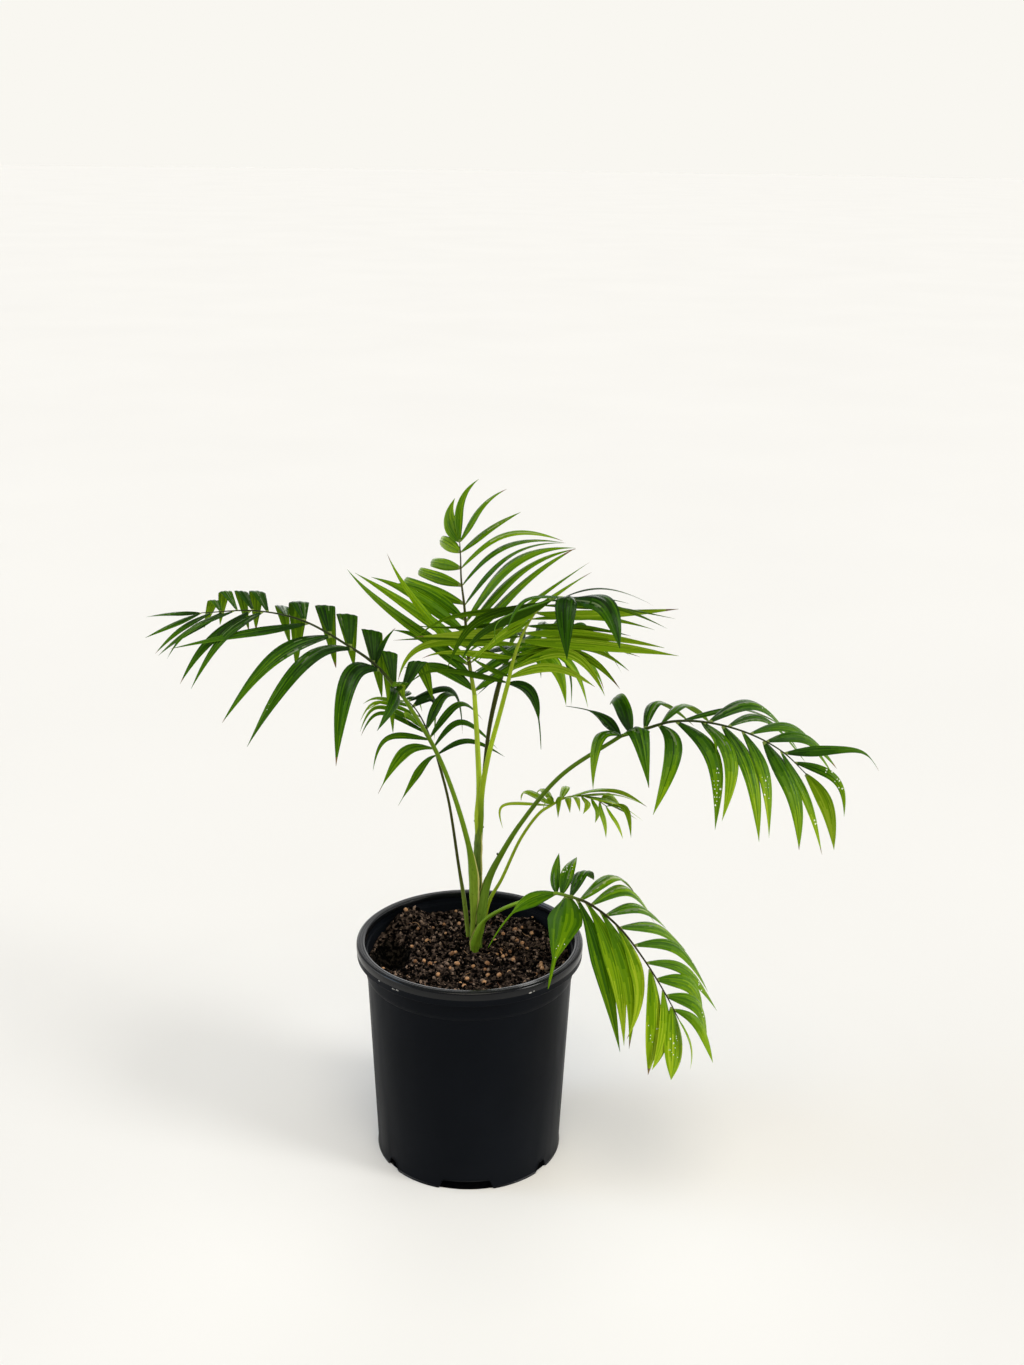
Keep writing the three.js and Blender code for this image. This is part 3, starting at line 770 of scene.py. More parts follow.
def pot_profile():
    """The pot's section as (radius, height), from the middle of its underside round to its floor."""
    height, lip, mouth, edge = POT["height"], POT["lip_radius"], POT["mouth_radius"], POT["foot_radius"]
    wall, foot, pad, ring = POT["wall"], POT["foot_height"], POT["pad_radius"], POT["foot_ring_inner"]
    step, bead = POT["collar_step"], POT["bead"]
    collar, skirt, ledge = (height - POT[key] for key in ("collar_drop", "lip_drop", "ledge_drop"))
    floor = foot + wall
    underside = [(0, 0), (pad - 1, 0), (pad, 0.4), (pad + 1.6, foot - 0.5), (pad + 2.4, foot)]
    underside += [(ring - 0.6, foot), (ring, foot - 0.7), (ring + 0.8, 0.5), (ring + 1.5, 0)]
    underside += [(edge - inset, 0) for inset in (1.4, 0.9, 0.2)]
    outside = [(wall_radius(0.3) + bead, 0.3), (wall_radius(1.3) + bead, 1.3), (wall_radius(2.1) + 0.1, 2.1)]
    outside += [(wall_radius(z), z) for z in (3, 14, 30, 60, 90, 120, 150, collar - 1.5, collar - 0.3)]
    outside += [(wall_radius(collar) + 0.35, collar + 0.1), (wall_radius(collar) + step, collar + 0.9)]
    outside += [(wall_radius(z) + step, z) for z in (collar + 4, collar + 10, skirt + 1)]
    outside += [(wall_radius(height) + step, height - 5), (lip - 3.2, height - 4.5)]
    outside += [(lip - 2.5, skirt + 0.3)]
    rim = [(lip - inset, skirt + up) for inset, up in ((1.9, -0.1), (1.0, 0), (0.5, 0.6))]
    rim += [(lip - inset, height - drop) for inset, drop in RIM_OUTLINE]
    inside = [(mouth + 0.9, height - 0.1), (mouth + 0.3, height - 0.5), (mouth, height - 1.2)]
    inside += [(mouth - 0.6, height - 5), (mouth - 0.9, ledge + 0.5), (mouth - 1.2, ledge)]
    inside += [(wall_radius(ledge) - wall + 0.5, ledge - 0.3), (wall_radius(ledge) - wall, ledge - 1.2)]
    inside += [(wall_radius(100) - wall, 100), (wall_radius(floor) - wall, floor + 1)]
    inside += [(wall_radius(floor) - wall - 1, floor), (pad + 2 + wall, floor)]
    inside += [(pad - 0.4, wall), (0.5, wall)]
    return np.array(underside + outside + rim + inside, float)


def notch_share(angle):
    """How far a drain notch is open at this angle round the foot, from 0 to 1."""
    share = np.zeros_like(angle)
    for middle, half in NOTCHES:
        off = (np.degrees(angle) - middle + 180) % 360 - 180
        share = np.maximum(share, smoothstep((half - abs(off)) / NOTCH_SLOPE + 0.5))
    return share


def make_pot():
    """The pot turned from its section, with the foot pushed up at the drain notches."""
    profile = pot_profile()
    rows = len(profile)
    angles = np.arange(POT_SEGMENTS) * 2 * math.pi / POT_SEGMENTS
    radius = np.repeat(profile[:, 0][:, None], POT_SEGMENTS, 1)
    height = np.repeat(profile[:, 1][:, None], POT_SEGMENTS, 1)
    recess = int(np.argmax(profile[:, 0] > POT["foot_radius"] - 1))
    number = np.arange(rows)
    in_foot = ((number >= recess) & (number < recess + FOOT_POINTS))[:, None]
    lift = notch_share(angles)[None, :] * NOTCH_HEIGHT
    height = np.where(in_foot, lift + height * (1 - lift / NOTCH_REACH), height)
    points = np.stack([radius * np.cos(angles), radius * np.sin(angles), height], -1).reshape(-1, 3)
    on_rim = (profile[:, 0] > POT["mouth_radius"] - 1) & (profile[:, 1] > POT["height"] - 7.5)
    looks = (on_rim[:-1] & on_rim[1:]).astype(int)
    # The strip that shows inside a notch is painted near-black as painted shade, and the bead round the foot
    # shines as the rim does.
    looks[recess - 1] = 2
    looks[recess + 3] = 1
    looks = [*np.repeat(looks, POT_SEGMENTS).tolist(), 0]
    faces = [*grid_faces(rows, POT_SEGMENTS, True), cap((rows - 1) * POT_SEGMENTS, POT_SEGMENTS)]
    u = np.tile(np.arange(POT_SEGMENTS) / POT_SEGMENTS, rows)
    pile = Pile()
    pile.add(points, faces, looks, np.stack([u, points[:, 2]], -1))
    painted_shade_colours = ((2, 2, 3), (9, 9, 9))
    painted_shade_look = speckled_material("pot_recess_painted_shade", painted_shade_colours, 300, (0.35, 0.7), 0.8, 0.0, bump=0)
    pot = pile.mesh("pot_body", [pot_material(), rim_material(), painted_shade_look], "pot", 35)
    finish_piece(pot, ["pot"])


# Pale scuffs under the rim, as (u, v, half length, half height).
SCUFFS = [(379, 981, 1.6, 0.9), (393, 989, 1.8, 0.9), (397, 990.5, 1.6, 0.7), (531, 992.5, 2.2, 0.9),
          (534, 991, 1.4, 1.0)]
SCUFF_SIDES = 14


def on_rim_at(u, v):
    """The angle and the height where pixel (u, v) of the photo meets the rim's outer face."""
    aim = at_pixel(u, v, -POT["lip_radius"]) - CAMERA_PLACE
    a = aim[0] ** 2 + aim[1] ** 2
    b = CAMERA_PLACE[0] * aim[0] + CAMERA_PLACE[1] * aim[1]
    c = CAMERA_PLACE[0] ** 2 + CAMERA_PLACE[1] ** 2 - POT["lip_radius"] ** 2
    place = CAMERA_PLACE + aim * (-b - math.sqrt(b * b - a * c)) / a
    low, high = (POT["height"] - drop for drop in RIM_FACE)
    return math.atan2(place[1], place[0]), min(max(place[2], low), high)


def make_scuffs():
    """Scrapes through the black skin of the plastic, as thin ragged patches on the rim's outer face."""
    chance = random.Random(31)
    pile = Pile()
    radius = POT["lip_radius"]
    for u, v, length, height in SCUFFS:
        middle, level = on_rim_at(u, v)
        points = []
        for k in range(SCUFF_SIDES):
            turn = 2 * math.pi * k / SCUFF_SIDES
            reach = chance.uniform(0.5, 1.2)
            around = middle + length * reach * math.cos(turn) / radius
            points.append(on_circle(radius - 0.3, around, level + height * reach * math.sin(turn)))
        points += [on_circle(radius + 0.12, middle, level), on_circle(radius - 0.6, middle, level)]
        pile.add(points, patch_faces(SCUFF_SIDES), 0)
    greys = ((96, 95, 92), (190, 188, 182))
    pale = speckled_material("pot_scuff", greys, 700, (0.4, 0.6), specular=0.3, detail=4.0, bump=0.0004)
    finish_piece(pile.mesh("pot_scuffs", [pale], "pot"))


# ---------------------------------------------------------------- potting mix


def from_spot(spot, x, y):
    """Distance from the middle of an oval spot in the mix, as a share of its size."""
    return np.hypot((x - spot["x"]) / spot["radius"], (y - spot["y"]) / spot["length"])


def soil_level(x, y):
    """The height of the potting mix: the CAD part's waves, with a hollow and a mound at the left."""
    wave = np.sin(x / 9 + 1.3) * np.cos(y / 11) + 0.6 * np.sin((x - 2 * y) / 17)
    from_stem = np.hypot(x - STEM[0][0], y - STEM[0][1])
    level = SOIL_TOP + 2.2 * wave * smoothstep((from_stem - 16) / 16)
    for spot, rise in ((SOIL_HOLE, -SOIL_HOLE["depth"]), (SOIL_MOUND, SOIL_MOUND["height"])):
        level = level + rise * smoothstep(1.3 * (1 - from_spot(spot, x, y)))
    return float(level)


def lumps(x, y):
    """Clods, crumbs and grit on the mix, in millimetres."""
    out = 0
    for height, size, layer in ((2.8, 0.11, 0.3), (1.7, 0.42, 5.1), (0.8, 0.9, 9.1)):
        out = out + height * noise.noise(Vector((x * size, y * size, layer)))
    return out


def soil_height(x, y):
    return soil_level(x, y) + lumps(x, y)


# How far the mix reaches out, which is just short of the pot's wall.
SOIL_EDGE = wall_radius(SOIL_TOP) - POT["wall"] - 0.5
CRUMBS = 2300
FIBRES = 170
# How thick a fibre is at each of its points, as a share of its full radius.
FIBRE_SHAPE = np.array([0.5, 0.9, 1, 1, 0.9, 0.8, 0.4])


def make_soil():
    """The heap of potting mix, whose top is a fine polar grid, and its sides down to the pot's floor."""
    rings, spokes = 110, 330
    radius = SOIL_EDGE * np.sqrt((np.arange(rings) + 0.4) / (rings - 0.6))
    angles = np.arange(spokes) * 2 * math.pi / spokes
    points = []
    for r in radius:
        for a in angles:
            x, y, _ = on_circle(r, a, 0)
            points.append((x, y, soil_height(x, y)))
    for depth in (30, 150):
        side = wall_radius(SOIL_TOP - 1 - depth) - 3
        points += [on_circle(side, a, SOIL_TOP - depth) for a in angles]
    faces = [*grid_faces(rings + 2, spokes, True), cap(0, spokes), cap((rings + 1) * spokes, spokes, True)]
    looks = [0] * len(faces)
    # Faces in the hollow take a darker mix: painted shade in the hollow.
    for k in range((rings - 1) * spokes):
        x, y, _ = points[k]
        ragged = 3 * noise.noise(Vector((x * 0.2, y * 0.2, 2.0)))
        if from_spot(SOIL_HOLE, x, y) < 0.86 + 0.06 * ragged:
            looks[k] = 1
    pile = Pile()
    pile.add(points, faces, looks)
    mix = soil_material("mix_dark", linear(2, 1, 1), linear(122, 103, 91))
    # The hollow's mix is darker, as painted shade.
    darker_mix = soil_material("mix_hollow_painted_shade", linear(1, 1, 1), linear(52, 46, 39))
    finish_piece(pile.mesh("potting_mix", [mix, darker_mix], "mix", 80), ["soil"])


def turned(chance):
    """A random turn."""
    quaternion = np.array([chance.gauss(0, 1) for _ in range(4)])
    w, x, y, z = quaternion / np.linalg.norm(quaternion)
    return np.array([
        [1 - 2 * (y * y + z * z), 2 * (x * y - z * w), 2 * (x * z + y * w)],
        [2 * (x * y + z * w), 1 - 2 * (x * x + z * z), 2 * (y * z - x * w)],
        [2 * (x * z - y * w), 2 * (y * z + x * w), 1 - 2 * (x * x + y * y)],
    ])


def on_mix(chance, inset=3.0):
    radius = (SOIL_EDGE - inset) * math.sqrt(chance.random())
    return on_circle(radius, chance.random() * 2 * math.pi, 0)[:2]


def rough_ball(points, size, rough, wide, flat, chance):
    """A ball's points made lumpy, and squashed by chance within the ranges wide and flat."""
    shape = points * (1 + rough * np.array([chance.uniform(-1, 1) for _ in points])[:, None])
    return shape * (size, size * chance.uniform(*wide), size * chance.uniform(*flat))


def make_crumbs():
    """Loose crumbs on the mix: fewer and all dark in the hollow, which paints shade into it."""
    chance = random.Random(11)
    points, faces = ball(1)
    pile = Pile()
    for _ in range(CRUMBS):
        x, y = on_mix(chance)
        hollow = from_spot(SOIL_HOLE, x, y) < 0.9
        size = 0.6 + 2.1 * chance.random() ** 3
        shape = rough_ball(points, size, 0.3, (0.6, 1), (0.4, 0.8), chance)
        if hollow and chance.random() < 0.7:
            continue
        place = (x, y, soil_height(x, y) + 0.25 * size)
        pile.add(shape @ turned(chance).T + place, faces, 0 if hollow else chance.choice((0, 0, 1, 2)))
    looks = [
        plain_material("crumb_dark", (6, 5, 5), 0.95, 0.02),
        plain_material("crumb_brown", (72, 60, 52), 0.95, 0.03),
        plain_material("crumb_red", (134, 113, 98), 0.95, 0.03),
    ]
    finish_piece(pile.mesh("mix_crumbs", looks, "mix", 80))


def make_fibres():
    """Bark slivers and root hairs lying on the mix."""
    chance = random.Random(23)
    pile = Pile()
    for _ in range(FIBRES):
        x, y = on_mix(chance, 9)
        if from_spot(SOIL_HOLE, x, y) < 1.2:
            continue
        heading = chance.random() * 2 * math.pi
        length = chance.uniform(3, 10)
        bend = chance.uniform(-0.5, 0.5)
        centres = []
        for s in np.linspace(-0.5, 0.5, len(FIBRE_SHAPE)):
            px = x + length * s * math.cos(heading + bend * s)
            py = y + length * s * math.sin(heading + bend * s)
            lift = 0.6 + 0.9 * math.cos(math.pi * s) * chance.uniform(0.3, 1)
            centres.append((px, py, soil_level(px, py) + lumps(px, py) * 0.6 + lift))
        radii = chance.uniform(0.14, 0.4) * FIBRE_SHAPE
        look = chance.choice((0, 1, 2, 2, 2, 2))
        add_tube(pile, centres, radii, sides=5, look=look, seed=chance.random())
    looks = [
        plain_material("fibre_pale", (150, 118, 88), 0.8, 0.2),
        plain_material("fibre_brown", (84, 56, 38), 0.85, 0.2),
        plain_material("fibre_dark", (40, 28, 20), 0.85, 0.2),
    ]
    finish_piece(pile.mesh("mix_fibres", looks, "limb"))


# Feed prills, by the pixels of the photo where they show, and a few more behind the stems.
PRILLS = [
    (383, 965), (436, 962), (457, 965), (473, 966), (485, 969), (487, 963), (406, 923), (456, 912),
    (459, 923), (433, 931), (446, 936), (427, 941), (415, 961), (424, 960), (452, 953), (515, 931),
    (522, 928), (500, 952), (506, 955), (514, 956), (517, 940), (522, 944), (532, 921), (541, 962),
    (499, 976), (484, 983), (467, 977), (460, 980), (438, 975), (495, 941), (503, 935), (444, 921),
    (418, 934), (509, 972), (527, 952), (412, 948), (501, 949), (503, 957), (510, 951), (513, 958),
    (497, 953), (488, 974), (450, 969), (541, 964), (430, 968),
]
HIDDEN_PRILLS = 7


def at_level(u, v):
    """Where pixel (u, v) meets the top of the potting mix."""
    ray = at_pixel(u, v, -200) - CAMERA_PLACE
    point = CAMERA_PLACE + ray * (SOIL_TOP + 1 - CAMERA_PLACE[2]) / ray[2]
    return point[0], point[1]


def make_prills():
    """The round grains of feed that lie on the mix."""
    chance = random.Random(5)
    points, faces = ball(2)
    pile = Pile()
    places = [at_level(u, v) for u, v in PRILLS]
    places += [on_mix(chance, 12) for _ in range(HIDDEN_PRILLS)]
    for x, y in places:
        size = chance.uniform(1.5, 2.6)
        shape = rough_ball(points, size, 0.1, (0.8, 1), (0.7, 0.95), chance)
        place = (x, y, soil_height(x, y) + 0.4 * size)
        pile.add(shape @ turned(chance).T + place, faces, chance.choice((0, 0, 1)))
    looks = [
        speckled_material("feed_prill_tan", ((204, 158, 116), (150, 108, 74)), 500, (0.35, 0.7)),
        speckled_material("feed_prill_brown", ((164, 120, 84), (96, 66, 44)), 500, (0.35, 0.7)),
    ]
    finish_piece(pile.mesh("feed_prills", looks, "mix"))


# ---------------------------------------------------------------- stem and stalks

MARGIN_STEPS = 40
# A papery edge stands up to this far off its limb, and reaches so much further in its waves.
MARGIN_WIDTH, MARGIN_WAVE = 0.9, 0.25
MARGIN_THICKNESS = 0.24


def limb_run(stations, steps):
    places = np.linspace(0, 1, steps)
    return smooth_line(stations, places), radii_at(stations, places)


def add_margin(pile, stations, start, end, angle):
    """The thin papery edge of a sheath: a narrow strip along one side of a limb, in its second look."""
    places = np.linspace(start, end, MARGIN_STEPS)
    centres = smooth_line(stations, places)
    along = tangents(centres)
    across = carried((0.3, 1, 0.1), along)
    back = np.cross(along, across)
    outward = across * math.cos(math.radians(angle)) + back * math.sin(math.radians(angle))
    sideways = np.cross(along, outward)
    radii = radii_at(stations, places)[:, None]
    swell = np.sin(np.linspace(0.15, math.pi - 0.1, MARGIN_STEPS))[:, None]
    wave = MARGIN_WAVE * np.sin(np.linspace(0, 21, MARGIN_STEPS))[:, None]
    inner = centres + outward * (radii * 0.97)
    outer = centres + outward * (radii + 0.25 + (MARGIN_WIDTH + wave) * swell) + sideways * 0.5 * swell
    thick = sideways * MARGIN_THICKNESS / 2
    points = np.stack([inner - thick, outer - thick, outer + thick, inner + thick], 1).reshape(-1, 3)
    pile.add(points, grid_faces(MARGIN_STEPS, 4, True), 1)


def sheath_edge_material():
    return plain_material("sheath_edge", (208, 204, 124), 0.7, 0.2)


# The heights of the stem's joints, and how far they stand out and reach up and down.
JOINTS = (203, 232, 262, 290)
JOINT_SWELL, JOINT_REACH = 0.3, 1.4


def make_stem():
    """The stem, drawn in at its foot and towards its top, with a low ring at each joint."""
    centres, radii = limb_run(STEM, 110)
    height = centres[:, 2]
    radii = radii * (1 - 0.28 * smoothstep((202 - height) / 14))
    radii = radii * (1 - 0.2 * smoothstep((height - 270) / 50))
    for joint in JOINTS:
        radii = radii + JOINT_SWELL * np.exp(-(((height - joint) / JOINT_REACH) ** 2))
    pile = Pile()
    add_tube(pile, centres, radii, sides=24, look=0, ridge=0.03, seed=2)
    add_margin(pile, STEM, 0.44, 0.78, -112)
    piece = pile.mesh("stem", [stem_material(), sheath_edge_material()], "limb")
    finish_piece(piece, ["main_stem"])


STALK_LOOKS = {
    "left": (100, 132, 20),
    "left_small": (60, 66, 18),
    "upright": (160, 184, 48),
    "centre_front": (152, 178, 32),
    # The centre_back stalk's dark colour is painted shade, as it stands back among the other stalks.
    "centre_back": (56, 62, 16),
    "right": (86, 118, 12),
    "right_small": (140, 164, 32),
    "right_low": (118, 154, 36),
}
# Stalks with another colour at the foot, and the lengths along them between which it fades.
STALK_FEET = {
    "left": ((140, 168, 56), 24, 85),
    "left_small": ((126, 150, 56), 30, 66),
    "centre_front": ((96, 128, 16), 29, 54),
    "right": ((116, 150, 50), 20, 82),
}
# Papery sheath edges, as (start and end along the stalk, degrees round it).
STALK_MARGINS = {"left": (0.08, 0.54, -95), "right": (0.02, 0.34, 80), "right_low": (0.02, 0.42, 95)}


def make_stalks():
    papery = sheath_edge_material()
    for name, stations in STALKS.items():
        pile = Pile()
        centres, radii = limb_run(stations, 90)
        add_tube(pile, centres, radii, sides=18, look=0, ridge=0.035, seed=len(name))
        if name in STALK_MARGINS:
            add_margin(pile, stations, *STALK_MARGINS[name])
        look = stalk_material(f"stalk_{name}", linear(*STALK_LOOKS[name]), foot=STALK_FEET.get(name))
        piece = pile.mesh(f"stalk_{name}", [look, papery], "limb")
        finish_piece(piece, [f"{name}_frond_stalk"])


# Dry buds that stand off a limb: (its stations, share of the way along it, degrees round it).
BUDS = [(STEM, 0.81, 190), (STEM, 0.77, -18), (STALKS["right"], 0.485, 172)]


def make_buds():
    """The dry ends of scales on the stem and on a stalk."""
    points, faces = ball(2)
    pile = Pile()
    for stations, share, turn in BUDS:
        out = np.array(on_circle(1, math.radians(turn), 0.3))
        centre = smooth_line(stations, [share])[0] + out * (radii_at(stations, [share])[0] + 0.5)
        pile.add(points * (0.9, 0.8, 1.2) + centre, faces, 0)
    piece = pile.mesh("stem_buds", [plain_material("dry_bud", (60, 62, 30), 0.6, 0.2)], "limb")
    finish_piece(piece)


# ---------------------------------------------------------------- fronds

# Faces along and across a leaflet, and the points that its path is measured with.
ALONG, ACROSS = 32, 14
PATH_STEPS = 160
LEAF_THICKNESS = 0.34
# Millimetres of leaflet in one unit of its map, across and along it.
MAP_WIDTH, MAP_LENGTH = 14, 20
# The share of leaflets with a dry tip, and the number of face rows that dry.
DRY_SHARE = 0.4
DRY_ROWS = (1, 2, 2, 3)
RIB_STEPS = 70


def leaf_width(s, side):
    """A leaflet's half width along its length: a narrow foot, widest at full, and a long drip tip.

    A wedge widens evenly up to a short full stretch over its fold, and tapers faster after it.
    """
    near = np.clip(s / side.full, 0, 1)
    if side.level is not None:
        past = np.clip((s - side.full - 0.03) / (0.97 - side.full), 0, 1)
        return (0.14 + 0.86 * np.minimum(near * 1.08, 1)) * (1 - past) ** 0.85 + 0.014
    past = np.clip((s - side.full) / (1 - side.tail - side.full), 0, 1)
    blade = (0.15 + 0.85 * np.sin(math.pi / 2 * near) ** side.rise) * (1 - past**side.taper) ** 1.12
    return np.maximum(blade, 0.17 * (1 - s) ** 0.45) + 0.014


def leaf_path(foot, bend, tip, crisp):
    """Evenly spaced points from foot to tip through the bend, their length, and the bend's share of it."""
    s = np.linspace(0, 1, PATH_STEPS)[:, None]
    control = ((2 + 2 * crisp) * bend - foot - tip) / (2 * crisp)
    parts = ((1 - s) ** 2, 2 * crisp * s * (1 - s), s**2)
    points = (parts[0] * foot + parts[1] * control + parts[2] * tip) / sum(parts)
    length = np.concatenate([[0], np.cumsum(np.linalg.norm(np.diff(points, axis=0), axis=1))])
    even = np.linspace(0, length[-1], ALONG + 1)
    path = np.stack([np.interp(even, length, points[:, k]) for k in range(3)], -1)
    return path, length[-1], length[PATH_STEPS // 2] / length[-1]


def leaf_sheet(path, length, face, width, side, roll, fold_line, chance):
    """The middle surface of a leaflet as a grid of points, with its upward normals and half widths.

    With a fold line given, the leaflet stays parallel to that line all along instead of square to its path.
    """
    s = np.linspace(0, 1, ALONG + 1)
    along = tangents(path)
    if fold_line is None:
        normal = carried(face, along)
        across = np.cross(along, normal)
    else:
        across = np.tile(fold_line, (ALONG + 1, 1))
        normal = unit(np.cross(across, along))
        if normal[0] @ face < 0:
            across, normal = -across, -normal
    turn = (math.radians(roll) + math.radians(chance.uniform(-14, 14)) * s)[:, None]
    cos, sin = np.cos(turn), np.sin(turn)
    normal, across = normal * cos + across * sin, across * cos - normal * sin
    half = (width / 2 * leaf_width(s, side))[:, None]
    u = np.linspace(-1, 1, ACROSS + 1)[None, :]
    share = np.minimum(half / 5, 1)
    fold = (0.5 * (1 - s) ** 2 + 0.14)[:, None] * (1 if fold_line is None else 0.25)
    lift = -fold * (np.sqrt(u * u + 0.012) - 0.11) * half
    lift = lift + 0.17 * np.cos(3 * math.pi * u) * share
    phase = chance.uniform(0, 6.28)
    lift = lift + 0.5 * np.sin(7 * s[:, None] * length / 110 + phase + 1.2 * u) * u * u * share
    sheet = path[:, None] + across[:, None] * (u * half)[..., None] + normal[:, None] * lift[..., None]
    return sheet, normal, half


# The tones of living leaf on the screen, from the darkest upper side to the brightest, and likewise
# for undersides, which are yellower and duller.
TOP_TONES = [(16, 40, 1), (25, 56, 1), (38, 75, 2), (54, 94, 2), (73, 113, 3), (94, 132, 5), (120, 153, 12),
             (152, 176, 34)]
UNDER_TONES = [(42, 72, 3), (57, 92, 4), (76, 112, 5), (95, 131, 8), (116, 150, 16), (142, 169, 38)]
# The dull shine of upper sides where they face the light, on dark, middling and bright leaflets.
SHEEN_TONES = [(58, 78, 44), (92, 112, 68), (146, 162, 100)]
# The material numbers that follow from them in the list that leaf_set gives.
FIRST_UNDER = len(TOP_TONES)
FIRST_SHEEN = FIRST_UNDER + len(UNDER_TONES)
FOOT_LOOK = FIRST_SHEEN + len(SHEEN_TONES)
DRY_LOOK = FOOT_LOOK + 1
RIB_LOOK = DRY_LOOK + 1


def leaf_set():
    """All leaf materials: upper sides, undersides, shine, a leaflet's foot and its dry tip."""
    looks = []
    for part, tones, gloss in (("top", TOP_TONES, (0.25, 0.07)), ("under", UNDER_TONES, (0.5, 0.03)),
                               ("sheen", SHEEN_TONES, (0.2, 0.2))):
        looks += [leaf_material(f"leaf_{part}_{k}", linear(*tone), *gloss) for k, tone in enumerate(tones)]
    looks.append(plain_material("leaflet_foot", (112, 130, 58), 0.5, 0.2))
    looks.append(plain_material("leaflet_dry_tip", (112, 92, 52), 0.75, 0.15))
    return looks


def streaks(ramp, jitter, count, chance):
    """The tone of each face of one side of a leaflet, as streaks that run into each other lengthwise."""
    foot_tone, tip_tone = ramp
    out = np.zeros((ALONG, ACROSS))
    for j in range(ACROSS):
        streak = chance.uniform(-1.0, 1.0)
        s = (np.arange(ALONG) + 0.5) / ALONG + chance.uniform(-0.12, 0.12)
        # The tone rises from foot to tip: partly the leaflet's own tone, partly painted light on its hanging
        # end.
        out[:, j] = foot_tone + (tip_tone - foot_tone) * smoothstep(s * 1.25) + streak + jitter
    middle = ACROSS // 2
    out[:, middle - 1 : middle + 1] -= 0.5
    return np.clip(np.rint(out).astype(int), 0, count - 1)


def add_sheen(top, normal, chance):
    """Streaks of shine, a few faces wide, along the stretch of a leaflet that faces up."""
    for _ in range(2):
        column = chance.randint(1, ACROSS - 3)
        level = chance.uniform(0.72, 0.9)
        for i in range(2, ALONG - 6):
            if normal[i, 2] < level or chance.random() < 0.12:
                continue
            for j in range(column, column + chance.choice((1, 1, 2))):
                grade = 0 if top[i, j] < 2 else 1 if top[i, j] < 5 else 2
                if top[i, j] < FIRST_SHEEN:
                    top[i, j] = FIRST_SHEEN + grade


def add_leaflet(pile, sheet, normal, half, length, width, top, under, chance):
    """One leaflet as a closed thin blade. top and under hold the material of each face."""
    u = np.linspace(-1, 1, ACROSS + 1)[None, :]
    thick = LEAF_THICKNESS / 2 * (1 - u**4) * np.minimum(half / 2, 1)
    shift = normal[:, None] * thick[..., None]
    rows, columns = ALONG + 1, ACROSS + 1
    upper = np.arange(rows * columns).reshape(rows, columns)
    lower = upper + rows * columns
    lower[:, 0], lower[:, -1] = upper[:, 0], upper[:, -1]
    faces, marks = [], []
    for i in range(ALONG):
        for j in range(ACROSS):
            for numbers, looks, order in ((upper, top, 1), (lower, under, -1)):
                corners = (numbers[i, j], numbers[i, j + 1], numbers[i + 1, j + 1], numbers[i + 1, j])
                faces.append(corners[::order])
                marks.append(int(looks[i, j]))
    offset = chance.uniform(0, 50)
    v = np.repeat(np.linspace(0, 1, rows) * length / MAP_LENGTH, columns) + offset
    across = np.tile((u[0] + 1) / 2, rows) * width / MAP_WIDTH + offset
    corners = np.stack([across, v], -1)
    points = np.vstack([(sheet + shift).reshape(-1, 3), (sheet - shift).reshape(-1, 3)])
    pile.add(points, faces, marks, np.vstack([corners, corners]))


def frond_faces(rib, places):
    """The rib's direction and the frond's upper face at each place."""
    step = 0.01
    low = smooth_line(rib, np.clip(places - step, 0, 1))
    high = smooth_line(rib, np.clip(places + step, 0, 1))
    along = unit(high - low)
    across = unit(np.cross((0, 0, 1), along))
    face = np.cross(along, across)
    sign = np.where(face @ np.array([0, -0.3, 1]) < 0, -1, 1)
    return along, face * sign[:, None]


def leaf_face(path, rib_along, frond_face):
    """The upward normal of a leaflet at its foot: it sits along the rib, and faces as the frond does."""
    sits = np.cross(rib_along, unit(path[3] - path[0]))
    if sits @ frond_face < 0:
        sits = -sits
    return sits + 0.25 * frond_face


def add_side(pile, rib, side, chance):
    """The leaflets of one side, added to the pile. Gives the sheet, normals and half widths of each."""
    sheets = []
    places = np.array([row[0] for row in side.rows])
    feet = smooth_line(rib, places)
    for row, foot, rib_along, up in zip(side.rows, feet, *frond_faces(rib, places)):
        _, bend_u, bend_v, tip_u, tip_v, depth, width, tone, *own_roll = row
        tip = at_pixel(tip_u, tip_v, depth)
        bend = at_pixel(bend_u, bend_v, foot[1] + (depth - foot[1]) * side.reach)
        path, length, bend_share = leaf_path(foot, bend, tip, side.crisp)
        face = leaf_face(path, rib_along, up) if side.facing is None else np.array(side.facing)
        shape = replace(side, full=bend_share) if side.full is None else side
        fold_line = None if side.level is None else unit(rib_along * (1, 0.3, 1 - side.level))
        roll = side.roll + sum(own_roll)
        sheet, normal, half = leaf_sheet(path, length, face, width, shape, roll, fold_line, chance)
        jitter = tone + chance.uniform(-0.4, 0.4)
        top = streaks(side.top, jitter, len(TOP_TONES), chance)
        under = streaks(side.under, jitter, len(UNDER_TONES), chance) + FIRST_UNDER
        add_sheen(top, normal, chance)
        top[0], under[0] = FOOT_LOOK, FOOT_LOOK
        if chance.random() < DRY_SHARE:
            dry_rows = chance.choice(DRY_ROWS)
            top[-dry_rows:], under[-dry_rows:] = DRY_LOOK, DRY_LOOK
        add_leaflet(pile, sheet, normal, half, length, width, top, under, chance)
        sheets.append((sheet, normal, half))
    return sheets


SPECK_SIDES = 9


def add_speck(pile, place, normal, size, chance):
    """A low round fleck of dried mineral water on a leaflet."""
    side = unit(np.cross(normal, (0.3, 0.2, 0.9)))
    other = np.cross(normal, side)
    points = []
    for k in range(SPECK_SIDES):
        angle = 2 * math.pi * k / SPECK_SIDES
        reach = size * chance.uniform(0.75, 1.1)
        points.append(place + (side * math.cos(angle) + other * math.sin(angle)) * reach - normal * 0.05)
    points += [place + normal * 0.22, place - normal * 0.1]
    pile.add(points, patch_faces(SPECK_SIDES), 0)


